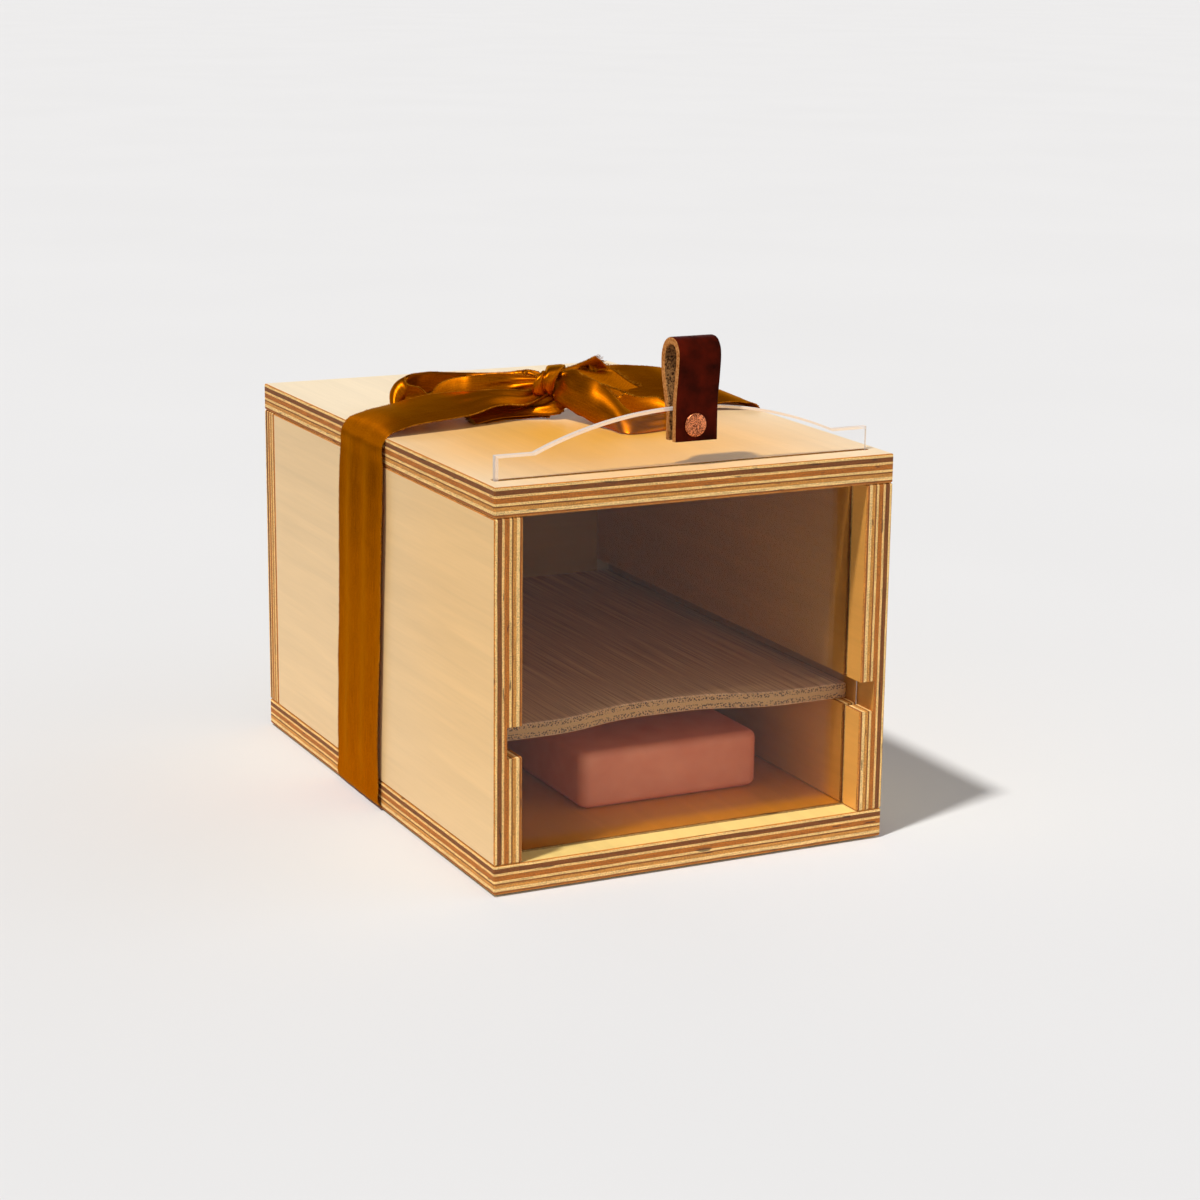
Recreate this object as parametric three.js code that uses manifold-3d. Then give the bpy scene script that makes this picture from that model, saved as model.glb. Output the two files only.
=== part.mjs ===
// Cheese storage box: a birch plywood case with a clear lift-out door, a bamboo shelf that slides in
// side grooves, a clay humidity brick under it, and a satin ribbon tied round the case in a bow.
// Millimetres, +Z up, front towards -Y. The origin is on the ground under the middle of the case.

import * as THREE from 'three';
import { mergeVertices } from 'three/addons/utils/BufferGeometryUtils.js';
import Module from 'manifold-3d';

const wasm = await Module();
wasm.setup();

// Case of plywood panels
const BOX_WIDTH = 176;
const BOX_DEPTH = 260;
const BOX_HEIGHT = 162;
const PANEL = 12;
const EDGE_EASE = 0.5;
const GLUE_LINE = 0.15;

// Running and seating clearances
const SEAT_GAP = 0.3;
const CUT_OVERRUN = 1;

// Dowels hidden in the seams
const DOWEL_RADIUS = 3;
const DOWEL_CHAMFER = 0.6;
const DOWEL_HOLE_CLEARANCE = 0.4;
const DOWEL_END_CLEARANCE = 0.4;
const DOWEL_DEPTH_IN_COVER = 8;
const DOWEL_DEPTH_IN_WALL = 17;
const SIDE_DOWEL_INSET = 33;
const BACK_DOWEL_INSET = 38;
const ROUND_SIDES = 16;

// Grooves in the side panels
const GROOVE_DEPTH = 6.5;
const SHELF_GROOVE_HEIGHT = 12.7;
const SHELF_GROOVE_ABOVE_FLOOR = 42.8;

// Door pane
const DOOR_THICKNESS = 3.2;
const DOOR_SETBACK = 11;
const DOOR_FACE_PLAY = 0.5;
const DOOR_END_PLAY = 0.35;
const SLOT_END_PLAY = 0.85;
const SILL_GROOVE_DEPTH = 6;
const DOOR_SHOULDER_RISE = 9.6;
const DOOR_ARCH_WIDTH = 132;
const DOOR_ARCH_RISE = 13.6;
const DOOR_EDGE_EASE = 0.9;
const ARCH_STEPS = 48;

// Leather pull folded over the top of the door
const PULL_OFFSET = 2;
const PULL_WIDTH = 18.6;
const LEATHER = 3;
const PULL_LEG_BELOW_ARCH = 13.2;
const PULL_LOOP_ABOVE_ARCH = 27.5;
const PULL_LOOP_DEPTH = 15.5;
const PULL_STEPS = 40;

// Shape of the pull's loop: how high it is widest, and how far its curve holds straight at the neck,
// the belly and the crown, as shares of the loop's rise and of its half depth
const PULL_BELLY_HEIGHT = 0.55;
const PULL_NECK_HOLD = 0.2;
const PULL_BELLY_HOLD = 0.3;
const PULL_CROWN_HOLD = 0.6;

// Copper rivet through the pull and the door
const RIVET_BELOW_ARCH = 6.8;
const RIVET_OFF_CENTRE = 0.6;
const RIVET_SHANK_RADIUS = 2;
const RIVET_HOLE_CLEARANCE = 0.4;
const RIVET_HEAD_RADIUS = 4.7;
const RIVET_HEAD_RISE = 1.1;
const RIVET_TAIL_RADIUS = 2.9;
const RIVET_TAIL_RISE = 1.2;
const BURR_RADIUS = 4.6;
const BURR_THICKNESS = 1.1;
const RIVET_SIDES = 32;
const DOME_STEPS = 5;

// Bamboo shelf
const SHELF_THICKNESS = 6.35;
const SHELF_SIDE_PLAY = 0.5;
const SHELF_BACK_PLAY = 0.5;
const SHELF_SETBACK = 22.4;
const SHELF_WAVE_WIDTH = 112;
const SHELF_WAVE_FLAT = 16;
const SHELF_WAVE_DEPTH = 9;
const SHELF_WAVE_EASE = 20;
const SHELF_EDGE_EASE = 0.4;
const SHELF_WAVE_STEPS = 16;

// Clay brick
const BRICK_WIDTH = 83.5;
const BRICK_DEPTH = 108;
const BRICK_HEIGHT = 24.5;
const BRICK_CORNER = 5;
const BRICK_EDGE = 3.5;
const BRICK_OFFSET = 13.8;
const BRICK_SETBACK = 48;
const BRICK_ROUND_STEPS = 6;

// Satin ribbon round the case
const RIBBON_WIDTH = 40;
const RIBBON_THICKNESS = 0.5;
const RIBBON_TOP_Y = 3.5;
const RIBBON_UNDER_Y = 8;

// Bow on the top panel, in ribbon widths: the knot's middle from the middle of the panel, and its half sizes
const KNOT_PLACE = [-0.075, 0.1, 0.375];
const KNOT_HALF = [0.15, 0.21, 0.16];

// Ways of the ribbon through the bow. Each row is one station: the back or upper selvedge, then the other.
// Across the panel, along it and above it in ribbon widths; the bands count across in half box widths.
const LEFT_BAND = [
  [[-0.93, 0.57, 0.07], [-0.91, -0.41, 0.07]],
  [[-0.78, 0.5, 0.165], [-0.765, -0.39, 0.115]],
  [[-0.62, 0.42, 0.25], [-0.62, -0.33, 0.125]],
  [[-0.5, 0.35, 0.275], [-0.5, -0.26, 0.14]],
  [[-0.4, 0.29, 0.29], [-0.4, -0.2, 0.18]],
  [[-0.26, 0.22, 0.29], [-0.31, -0.14, 0.19]],
  [[-0.14, 0.15, 0.28], [-0.18, -0.07, 0.18]],
  [[-0.04, 0.1, 0.32], [-0.04, -0.02, 0.28]],
];
const RIGHT_BAND = [
  [[0.91, 0.61, 0.19], [0.91, -0.37, 0.09]],
  [[0.71, 0.625, 0.335], [0.72, -0.1, 0.115]],
  [[0.57, 0.61, 0.38], [0.57, 0.24, 0.125]],
  [[0.43, 0.6, 0.41], [0.43, 0.28, 0.165]],
  [[0.25, 0.45, 0.41], [0.25, 0.22, 0.2]],
  [[0.09, 0.25, 0.38], [0.09, 0.17, 0.26]],
  [[-0.03, 0.15, 0.38], [-0.03, 0.1, 0.32]],
];
const BACK_LOOP = [
  [[-0.08, 0.08, 0.41], [-0.08, 0.03, 0.33]],
  [[-0.25, 0.22, 0.42], [-0.25, 0.13, 0.3]],
  [[-0.48, 0.33, 0.44], [-0.5, 0.29, 0.21]],
  [[-0.66, 0.45, 0.44], [-0.7, 0.38, 0.15]],
  [[-1.04, 0.44, 0.41], [-1.05, 0.46, 0.09]],
  [[-1.2, 0.47, 0.35], [-1.2, 0.5, 0.06]],
  [[-1.3, 0.5, 0.28], [-1.38, 0.53, 0.05]],
  [[-1.39, 0.56, 0.33], [-1.58, 0.56, 0.1]],
  [[-1.47, 0.7, 0.36], [-1.69, 0.63, 0.16]],
  [[-1.34, 0.9, 0.37], [-1.52, 0.83, 0.08]],
  [[-1.11, 1.05, 0.38], [-1.2, 1, 0.06]],
  [[-0.66, 0.95, 0.37], [-0.7, 0.9, 0.08]],
  [[-0.36, 0.6, 0.41], [-0.35, 0.55, 0.15]],
  [[-0.13, 0.33, 0.45], [-0.1, 0.3, 0.28]],
  [[-0.06, 0.2, 0.41], [-0.06, 0.18, 0.33]],
];
const FRONT_LOOP = [
  [[-0.03, 0.04, 0.45], [-0.08, -0.01, 0.3]],
  [[0.14, 0.05, 0.49], [-0.1, -0.05, 0.26]],
  [[0.24, -0.08, 0.44], [-0.02, -0.22, 0.15]],
  [[0.34, -0.22, 0.39], [0.06, -0.45, 0.07]],
  [[0.42, -0.37, 0.31], [0.11, -0.7, 0.024]],
  [[0.51, -0.5, 0.175], [0.1, -1.03, 0.022]],
  [[0.58, -0.6, 0.09], [0.17, -1.22, 0.022]],
  [[0.7, -0.58, 0.1], [0.33, -1.31, 0.022]],
  [[0.88, -0.48, 0.1], [0.55, -1.32, 0.022]],
  [[1.1, -0.33, 0.11], [0.86, -1.15, 0.022]],
  [[1.17, -0.15, 0.13], [1.15, -0.7, 0.022]],
  [[1, -0.05, 0.17], [1.15, -0.33, 0.03]],
  [[0.77, 0.02, 0.24], [0.87, -0.15, 0.055]],
  [[0.56, 0.07, 0.31], [0.55, -0.07, 0.125]],
  [[0.21, 0.1, 0.42], [0.15, 0.04, 0.27]],
  [[-0.03, 0.11, 0.41], [-0.05, 0.07, 0.33]],
];
const RIGHT_TAIL = [
  [[-0.03, 0.13, 0.47], [-0.03, 0.08, 0.44]],
  [[0.17, 0.15, 0.5], [0.21, 0.09, 0.45]],
  [[0.29, 0.19, 0.51], [0.5, 0.06, 0.36]],
  [[0.4, 0.22, 0.545], [0.9, 0.1, 0.24]],
  [[0.52, 0.25, 0.585], [1.3, 0.13, 0.18]],
];
const LEFT_TAIL = [
  [[-0.07, 0.08, 0.3], [-0.07, 0, 0.3]],
  [[-0.1, 0.06, 0.205], [-0.09, -0.1, 0.2]],
  [[-0.27, 0.02, 0.17], [-0.18, -0.25, 0.1]],
  [[-0.37, 0.02, 0.125], [-0.32, -0.24, 0.08]],
  [[-0.55, 0.04, 0.095], [-0.58, -0.21, 0.075]],
  [[-0.78, 0.05, 0.075], [-0.79, -0.2, 0.065]],
  [[-1, 0.07, 0.05], [-1.02, -0.22, 0.045]],
];
const STEPS_PER_STATION = 3;

// Levels and faces worked out from the sizes above
const baseZ = RIBBON_THICKNESS + SEAT_GAP;
const floorZ = baseZ + PANEL;
const topZ = baseZ + BOX_HEIGHT;
const ceilingZ = topZ - PANEL;
const wallHeight = ceilingZ - floorZ - 2 * GLUE_LINE;
const wallZ = (floorZ + ceilingZ) / 2;
const frontY = -BOX_DEPTH / 2;
const backWallY = BOX_DEPTH / 2 - PANEL;
const innerHalf = BOX_WIDTH / 2 - PANEL;
const wallX = BOX_WIDTH / 2 - PANEL / 2;
const grooveHalf = innerHalf + GROOVE_DEPTH;
const slotFrontY = frontY + DOOR_SETBACK;
const slotBackY = slotFrontY + DOOR_THICKNESS + 2 * DOOR_FACE_PLAY;
const doorY = (slotFrontY + slotBackY) / 2;
const doorHalf = grooveHalf - DOOR_END_PLAY;
const slotHalf = doorHalf + SLOT_END_PLAY;
const archZ = topZ + DOOR_SHOULDER_RISE + DOOR_ARCH_RISE;
const rivetZ = archZ - RIVET_BELOW_ARCH;
const rivetX = PULL_OFFSET - RIVET_OFF_CENTRE;
const pullLegY = DOOR_THICKNESS / 2 + SEAT_GAP + LEATHER / 2;
const shelfGrooveZ = floorZ + SHELF_GROOVE_ABOVE_FLOOR;
const shelfZ = shelfGrooveZ + SEAT_GAP;

const birch = new THREE.MeshStandardMaterial({ color: '#e8cd9c', roughness: 0.6, metalness: 0 });
const beech = new THREE.MeshStandardMaterial({ color: '#d9b27c', roughness: 0.7, metalness: 0 });
const acrylic = new THREE.MeshStandardMaterial({
  color: '#e9e4df',
  roughness: 0.05,
  metalness: 0,
  transparent: true,
  opacity: 0.3,
});
const leather = new THREE.MeshStandardMaterial({ color: '#54190f', roughness: 0.5, metalness: 0 });
const copper = new THREE.MeshStandardMaterial({ color: '#c9805c', roughness: 0.35, metalness: 1 });
const bamboo = new THREE.MeshStandardMaterial({ color: '#8a6647', roughness: 0.55, metalness: 0 });
const clay = new THREE.MeshStandardMaterial({ color: '#b3684c', roughness: 0.9, metalness: 0 });
const satin = new THREE.MeshStandardMaterial({ color: '#a05c08', roughness: 0.4, metalness: 0 });

const box = new THREE.Group();

// Turns a geometry into a solid with its faces outwards, without the slivers left at its poles.
function solidOf(geometry) {
  const bare = new THREE.BufferGeometry();
  bare.setAttribute('position', geometry.getAttribute('position'));
  bare.setIndex(geometry.getIndex());
  const merged = mergeVertices(bare);
  const corners = merged.getIndex().array;
  const faces = [];
  for (let i = 0; i < corners.length; i += 3) {
    const face = [corners[i], corners[i + 1], corners[i + 2]];
    if (new Set(face).size === 3) {
      faces.push(face);
    }
  }
  const build = (list) => new wasm.Manifold(new wasm.Mesh({
    numProp: 3,
    vertProperties: new Float32Array(merged.getAttribute('position').array),
    triVerts: new Uint32Array(list.flat()),
  }));
  const solid = build(faces);
  return solid.volume() > 0 ? solid : build(faces.map(([a, b, c]) => [a, c, b]));
}

function geometryOf(solid) {
  const { vertProperties, triVerts } = solid.getMesh();
  const geometry = new THREE.BufferGeometry();
  geometry.setAttribute('position', new THREE.BufferAttribute(vertProperties, 3));
  geometry.setIndex(new THREE.BufferAttribute(triVerts, 1));
  geometry.computeVertexNormals();
  return geometry;
}

function addPiece(name, solid, material) {
  const mesh = new THREE.Mesh(geometryOf(solid), material);
  mesh.name = name;
  box.add(mesh);
}

// A square-cornered block between two opposite corners, used as a cutter.
function blockBetween(low, high) {
  const size = high.map((value, axis) => value - low[axis]);
  const middle = high.map((value, axis) => (value + low[axis]) / 2);
  return solidOf(new THREE.BoxGeometry(...size).translate(...middle));
}

// A plywood panel about the origin, with every edge eased by a small chamfer.
function easedPanel(width, depth, height) {
  const outline = new THREE.Shape();
  const x = width / 2;
  const y = depth / 2;
  outline.moveTo(-x + EDGE_EASE, -y);
  outline.lineTo(x - EDGE_EASE, -y);
  outline.lineTo(x, -y + EDGE_EASE);
  outline.lineTo(x, y - EDGE_EASE);
  outline.lineTo(x - EDGE_EASE, y);
  outline.lineTo(-x + EDGE_EASE, y);
  outline.lineTo(-x, y - EDGE_EASE);
  outline.lineTo(-x, -y + EDGE_EASE);
  outline.closePath();
  const panel = new THREE.ExtrudeGeometry(outline, {
    depth: height - 2 * EDGE_EASE,
    bevelThickness: EDGE_EASE,
    bevelSize: EDGE_EASE,
    bevelOffset: -EDGE_EASE,
    bevelSegments: 1,
  });
  return panel.translate(0, 0, EDGE_EASE - height / 2);
}

// Dowel places in plan: three along each side panel and two along the back panel.
function dowelPlaces() {
  const first = frontY + SIDE_DOWEL_INSET;
  const last = backWallY - SIDE_DOWEL_INSET;
  const places = [];
  for (const [row, y] of [[1, first], [2, (first + last) / 2], [3, last]]) {
    places.push({ seam: `left_${row}`, wall: 'left', x: -wallX, y });
    places.push({ seam: `right_${row}`, wall: 'right', x: wallX, y });
  }
  const outer = BOX_WIDTH / 2 - BACK_DOWEL_INSET;
  for (const [row, x] of [[1, -outer], [2, outer]]) {
    places.push({ seam: `back_${row}`, wall: 'back', x, y: backWallY + PANEL / 2 });
  }
  return places;
}

// One blind hole across a seam at height z, reaching below and above it by the two depths.
function dowelHole(place, z, below, above) {
  const radius = DOWEL_RADIUS + DOWEL_HOLE_CLEARANCE;
  const hole = new THREE.CylinderGeometry(radius, radius, below + above, ROUND_SIDES);
  hole.rotateX(Math.PI / 2);
  return solidOf(hole.translate(place.x, place.y, z + (above - below) / 2));
}

function withDowelHoles(solid, wall) {
  let drilled = solid;
  for (const place of dowelPlaces().filter((each) => wall === 'cover' || each.wall === wall)) {
    const lowSeam = dowelHole(place, floorZ, DOWEL_DEPTH_IN_COVER, DOWEL_DEPTH_IN_WALL);
    const highSeam = dowelHole(place, ceilingZ, DOWEL_DEPTH_IN_WALL, DOWEL_DEPTH_IN_COVER);
    drilled = drilled.subtract(lowSeam).subtract(highSeam);
  }
  return drilled;
}

function addDowels() {
  const length = DOWEL_DEPTH_IN_COVER + DOWEL_DEPTH_IN_WALL - 2 * DOWEL_END_CLEARANCE;
  const profile = [
    new THREE.Vector2(0, -length / 2),
    new THREE.Vector2(DOWEL_RADIUS - DOWEL_CHAMFER, -length / 2),
    new THREE.Vector2(DOWEL_RADIUS, DOWEL_CHAMFER - length / 2),
    new THREE.Vector2(DOWEL_RADIUS, length / 2 - DOWEL_CHAMFER),
    new THREE.Vector2(DOWEL_RADIUS - DOWEL_CHAMFER, length / 2),
    new THREE.Vector2(0, length / 2),
  ];
  const shift = (DOWEL_DEPTH_IN_WALL - DOWEL_DEPTH_IN_COVER) / 2;
  for (const place of dowelPlaces()) {
    for (const [seam, z] of [['bottom', floorZ + shift], ['top', ceilingZ - shift]]) {
      const dowel = new THREE.LatheGeometry(profile, ROUND_SIDES).rotateX(Math.PI / 2);
      addPiece(`dowel_${seam}_${place.seam}`, solidOf(dowel.translate(place.x, place.y, z)), beech);
    }
  }
}

// Bottom panel with the sill groove that the door drops into.
function addBottomPanel() {
  const panel = solidOf(easedPanel(BOX_WIDTH, BOX_DEPTH, PANEL).translate(0, 0, baseZ + PANEL / 2));
  const groove = blockBetween(
    [-slotHalf, slotFrontY, floorZ - SILL_GROOVE_DEPTH],
    [slotHalf, slotBackY, floorZ + CUT_OVERRUN],
  );
  addPiece('bottom_panel', withDowelHoles(panel, 'cover').subtract(groove), birch);
}

// Top panel with the slot that the door is lifted through.
function addTopPanel() {
  const panel = solidOf(easedPanel(BOX_WIDTH, BOX_DEPTH, PANEL).translate(0, 0, topZ - PANEL / 2));
  const slot = blockBetween(
    [-slotHalf, slotFrontY, ceilingZ - CUT_OVERRUN],
    [slotHalf, slotBackY, topZ + CUT_OVERRUN],
  );
  addPiece('top_panel', withDowelHoles(panel, 'cover').subtract(slot), birch);
}

// Side panels with a level groove for the shelf, open at the front, and an upright one for the door.
function addSidePanels() {
  const depth = backWallY - GLUE_LINE - frontY;
  for (const [name, side] of [['left', -1], ['right', 1]]) {
    const blank = easedPanel(PANEL, depth, wallHeight).translate(side * wallX, frontY + depth / 2, wallZ);
    const inner = side * (innerHalf - CUT_OVERRUN);
    const deep = side * grooveHalf;
    const shelfGroove = blockBetween(
      [Math.min(inner, deep), frontY - CUT_OVERRUN, shelfGrooveZ],
      [Math.max(inner, deep), backWallY, shelfGrooveZ + SHELF_GROOVE_HEIGHT],
    );
    const doorGroove = blockBetween(
      [Math.min(inner, deep), slotFrontY, floorZ],
      [Math.max(inner, deep), slotBackY, ceilingZ],
    );
    const panel = withDowelHoles(solidOf(blank), name).subtract(shelfGroove).subtract(doorGroove);
    addPiece(`${name}_side_panel`, panel, birch);
  }
}

function addBackPanel() {
  const depth = PANEL;
  const blank = easedPanel(BOX_WIDTH, depth, wallHeight).translate(0, backWallY + depth / 2, wallZ);
  addPiece('back_panel', withDowelHoles(solidOf(blank), 'back'), birch);
}

// Lays a flat outline drawn in X and Z upright, with its thickness centred on the door's plane.
function standUpright(geometry, thickness) {
  return geometry.translate(0, 0, -thickness / 2).rotateX(Math.PI / 2).translate(0, doorY, 0);
}

// A round cutter along Y through the door and the pull, where the rivet goes.
function rivetHole() {
  const radius = RIVET_SHANK_RADIUS + RIVET_HOLE_CLEARANCE;
  const hole = new THREE.CylinderGeometry(radius, radius, 2 * PULL_LOOP_DEPTH, RIVET_SIDES);
  return solidOf(hole.translate(rivetX, doorY, rivetZ));
}

// Clear pane with square shoulders above the top panel and a shallow arch between them. Its front edges are
// eased by a chamfer all round; the back ones are square.
function addDoorPane() {
  const low = floorZ - SILL_GROOVE_DEPTH + SEAT_GAP;
  const shoulder = topZ + DOOR_SHOULDER_RISE;
  const archHalf = DOOR_ARCH_WIDTH / 2;
  const radius = (archHalf ** 2 + DOOR_ARCH_RISE ** 2) / (2 * DOOR_ARCH_RISE);
  const start = Math.asin((radius - DOOR_ARCH_RISE) / radius);
  const outline = new THREE.Shape();
  outline.moveTo(-doorHalf, low);
  outline.lineTo(doorHalf, low);
  outline.lineTo(doorHalf, shoulder);
  outline.absarc(0, archZ - radius, radius, start, Math.PI - start, false);
  outline.lineTo(-doorHalf, shoulder);
  outline.closePath();
  const square = new THREE.ExtrudeGeometry(outline, {
    depth: DOOR_THICKNESS - DOOR_EDGE_EASE,
    curveSegments: ARCH_STEPS,
    bevelEnabled: false,
  });
  const eased = new THREE.ExtrudeGeometry(outline, {
    depth: DOOR_THICKNESS - 2 * DOOR_EDGE_EASE,
    curveSegments: ARCH_STEPS,
    bevelThickness: DOOR_EDGE_EASE,
    bevelSize: DOOR_EDGE_EASE,
    bevelOffset: -DOOR_EDGE_EASE,
    bevelSegments: 1,
  }).translate(0, 0, DOOR_EDGE_EASE);
  const behind = solidOf(standUpright(square, DOOR_THICKNESS));
  const pane = solidOf(standUpright(eased, DOOR_THICKNESS)).add(behind);
  addPiece('door_pane', pane.subtract(rivetHole()), acrylic);
}

// A strip of even thickness along a flat curve, as a closed outline.
function stripOutline(curve, thickness, steps) {
  const left = [];
  const right = [];
  for (let i = 0; i <= steps; i += 1) {
    const point = curve.getPoint(i / steps);
    const along = curve.getTangent(i / steps);
    const offset = new THREE.Vector2(-along.y, along.x).multiplyScalar(thickness / 2);
    left.push(point.clone().add(offset));
    right.unshift(point.clone().sub(offset));
  }
  return new THREE.Shape([...left, ...right]);
}

// Leather strip folded into a loop, with one leg either side of the door.
function addLeatherPull() {
  const low = archZ - PULL_LEG_BELOW_ARCH;
  const high = archZ + PULL_LOOP_ABOVE_ARCH - LEATHER / 2;
  const belly = (PULL_LOOP_DEPTH - LEATHER) / 2;
  const crown = belly * PULL_CROWN_HOLD;
  const rise = high - archZ;
  const neck = archZ + rise * PULL_NECK_HOLD;
  const waist = archZ + rise * PULL_BELLY_HEIGHT;
  const hold = rise * PULL_BELLY_HOLD;
  const fold = new THREE.Path();
  fold.moveTo(pullLegY, low);
  fold.lineTo(pullLegY, archZ);
  fold.bezierCurveTo(pullLegY, neck, belly, waist - hold, belly, waist);
  fold.bezierCurveTo(belly, waist + hold, crown, high, 0, high);
  fold.bezierCurveTo(-crown, high, -belly, waist + hold, -belly, waist);
  fold.bezierCurveTo(-belly, waist - hold, -pullLegY, neck, -pullLegY, archZ);
  fold.lineTo(-pullLegY, low);
  const strip = new THREE.ExtrudeGeometry(stripOutline(fold, LEATHER, PULL_STEPS), {
    depth: PULL_WIDTH,
    bevelEnabled: false,
  });
  const foldPlane = new THREE.Matrix4().makeBasis(
    new THREE.Vector3(0, 1, 0),
    new THREE.Vector3(0, 0, 1),
    new THREE.Vector3(1, 0, 0),
  );
  strip.applyMatrix4(foldPlane).translate(PULL_OFFSET - PULL_WIDTH / 2, doorY, 0);
  addPiece('leather_pull', solidOf(strip).subtract(rivetHole()), leather);
}

// Half the outline of a low round dome, from its rim to the middle of its top.
function domeOutline(radius, base, rise) {
  const points = [];
  for (let i = 0; i < DOME_STEPS; i += 1) {
    const angle = (Math.PI / 2) * (i / DOME_STEPS);
    points.push(new THREE.Vector2(radius * Math.cos(angle), base + rise * Math.sin(angle)));
  }
  return [...points, new THREE.Vector2(0, base + rise)];
}

// Rivet with a low domed head in front and its end hammered over the burr behind.
function addRivet() {
  const stack = pullLegY + LEATHER / 2 + SEAT_GAP;
  const tail = stack + BURR_THICKNESS + SEAT_GAP;
  const profile = [
    ...domeOutline(RIVET_TAIL_RADIUS, -tail, -RIVET_TAIL_RISE).reverse(),
    new THREE.Vector2(RIVET_SHANK_RADIUS, -tail),
    new THREE.Vector2(RIVET_SHANK_RADIUS, stack),
    ...domeOutline(RIVET_HEAD_RADIUS, stack, RIVET_HEAD_RISE),
  ];
  const rivet = new THREE.LatheGeometry(profile, RIVET_SIDES).rotateX(Math.PI);
  addPiece('rivet', solidOf(rivet.translate(rivetX, doorY, rivetZ)), copper);
  const washer = new THREE.CylinderGeometry(BURR_RADIUS, BURR_RADIUS, BURR_THICKNESS, RIVET_SIDES);
  washer.translate(rivetX, doorY + stack + BURR_THICKNESS / 2, rivetZ);
  addPiece('rivet_burr', solidOf(washer).subtract(rivetHole()), copper);
}

// Shelf whose front edge draws back in a shallow wave between two straight ends.
function addShelf() {
  const half = grooveHalf - SHELF_SIDE_PLAY;
  const front = frontY + SHELF_SETBACK;
  const back = backWallY - SHELF_BACK_PLAY;
  const wave = SHELF_WAVE_WIDTH / 2;
  const flat = SHELF_WAVE_FLAT / 2;
  const drawn = front + SHELF_WAVE_DEPTH;
  const outline = new THREE.Shape();
  outline.moveTo(-half, front);
  outline.lineTo(-wave, front);
  outline.bezierCurveTo(-wave + SHELF_WAVE_EASE, front, -flat - SHELF_WAVE_EASE, drawn, -flat, drawn);
  outline.lineTo(flat, drawn);
  outline.bezierCurveTo(flat + SHELF_WAVE_EASE, drawn, wave - SHELF_WAVE_EASE, front, wave, front);
  outline.lineTo(half, front);
  outline.lineTo(half, back);
  outline.lineTo(-half, back);
  outline.closePath();
  const shelf = new THREE.ExtrudeGeometry(outline, {
    depth: SHELF_THICKNESS - 2 * SHELF_EDGE_EASE,
    curveSegments: SHELF_WAVE_STEPS,
    bevelThickness: SHELF_EDGE_EASE,
    bevelSize: SHELF_EDGE_EASE,
    bevelOffset: -SHELF_EDGE_EASE,
    bevelSegments: 1,
  });
  addPiece('shelf', solidOf(shelf.translate(0, 0, shelfZ + SHELF_EDGE_EASE)), bamboo);
}

// Unglazed brick with rounded corners and softly rounded edges.
function addClayBrick() {
  const x = BRICK_WIDTH / 2;
  const y = BRICK_DEPTH / 2;
  const outline = new THREE.Shape();
  outline.absarc(x - BRICK_CORNER, y - BRICK_CORNER, BRICK_CORNER, 0, Math.PI / 2);
  outline.absarc(-x + BRICK_CORNER, y - BRICK_CORNER, BRICK_CORNER, Math.PI / 2, Math.PI);
  outline.absarc(-x + BRICK_CORNER, -y + BRICK_CORNER, BRICK_CORNER, Math.PI, Math.PI * 1.5);
  outline.absarc(x - BRICK_CORNER, -y + BRICK_CORNER, BRICK_CORNER, Math.PI * 1.5, Math.PI * 2);
  outline.closePath();
  const brick = new THREE.ExtrudeGeometry(outline, {
    depth: BRICK_HEIGHT - 2 * BRICK_EDGE,
    curveSegments: BRICK_ROUND_STEPS,
    bevelThickness: BRICK_EDGE,
    bevelSize: BRICK_EDGE,
    bevelOffset: -BRICK_EDGE,
    bevelSegments: BRICK_ROUND_STEPS,
  });
  const middleY = frontY + BRICK_SETBACK + BRICK_DEPTH / 2;
  brick.translate(BRICK_OFFSET, middleY, floorZ + SEAT_GAP + BRICK_EDGE);
  addPiece('clay_brick', solidOf(brick), clay);
}

// A length of ribbon whose two selvedges run smoothly through the stations. Its two faces are split along the
// same diagonals, so that they stay apart where the ribbon twists.
function ribbonSolid(stations, steps) {
  const upper = new THREE.CatmullRomCurve3(stations.map(([one]) => new THREE.Vector3(...one)));
  const lower = new THREE.CatmullRomCurve3(stations.map(([, other]) => new THREE.Vector3(...other)));
  const section = [[0, 1], [1, 1], [1, -1], [0, -1]];
  const sides = section.length;
  const points = [];
  const faces = [];
  for (let i = 0; i <= steps; i += 1) {
    const edges = [upper.getPoint(i / steps), lower.getPoint(i / steps)];
    const along = upper.getTangent(i / steps).add(lower.getTangent(i / steps));
    const normal = edges[0].clone().sub(edges[1]).cross(along).setLength(RIBBON_THICKNESS / 2);
    for (const [edge, face] of section) {
      points.push(edges[edge].clone().addScaledVector(normal, face));
    }
  }
  for (let i = 0; i < steps; i += 1) {
    for (let k = 0; k < sides; k += 1) {
      const a = sides * i + k;
      const b = sides * i + ((k + 1) % sides);
      const [c, d] = [a + sides, b + sides];
      faces.push(...(k === 2 ? [a, b, c, b, d, c] : [a, b, d, a, d, c]));
    }
  }
  const end = sides * steps;
  faces.push(0, 2, 1, 0, 3, 2);
  faces.push(end, end + 1, end + 2, end, end + 2, end + 3);
  const geometry = new THREE.BufferGeometry().setFromPoints(points);
  geometry.setIndex(faces);
  return solidOf(geometry);
}

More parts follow.
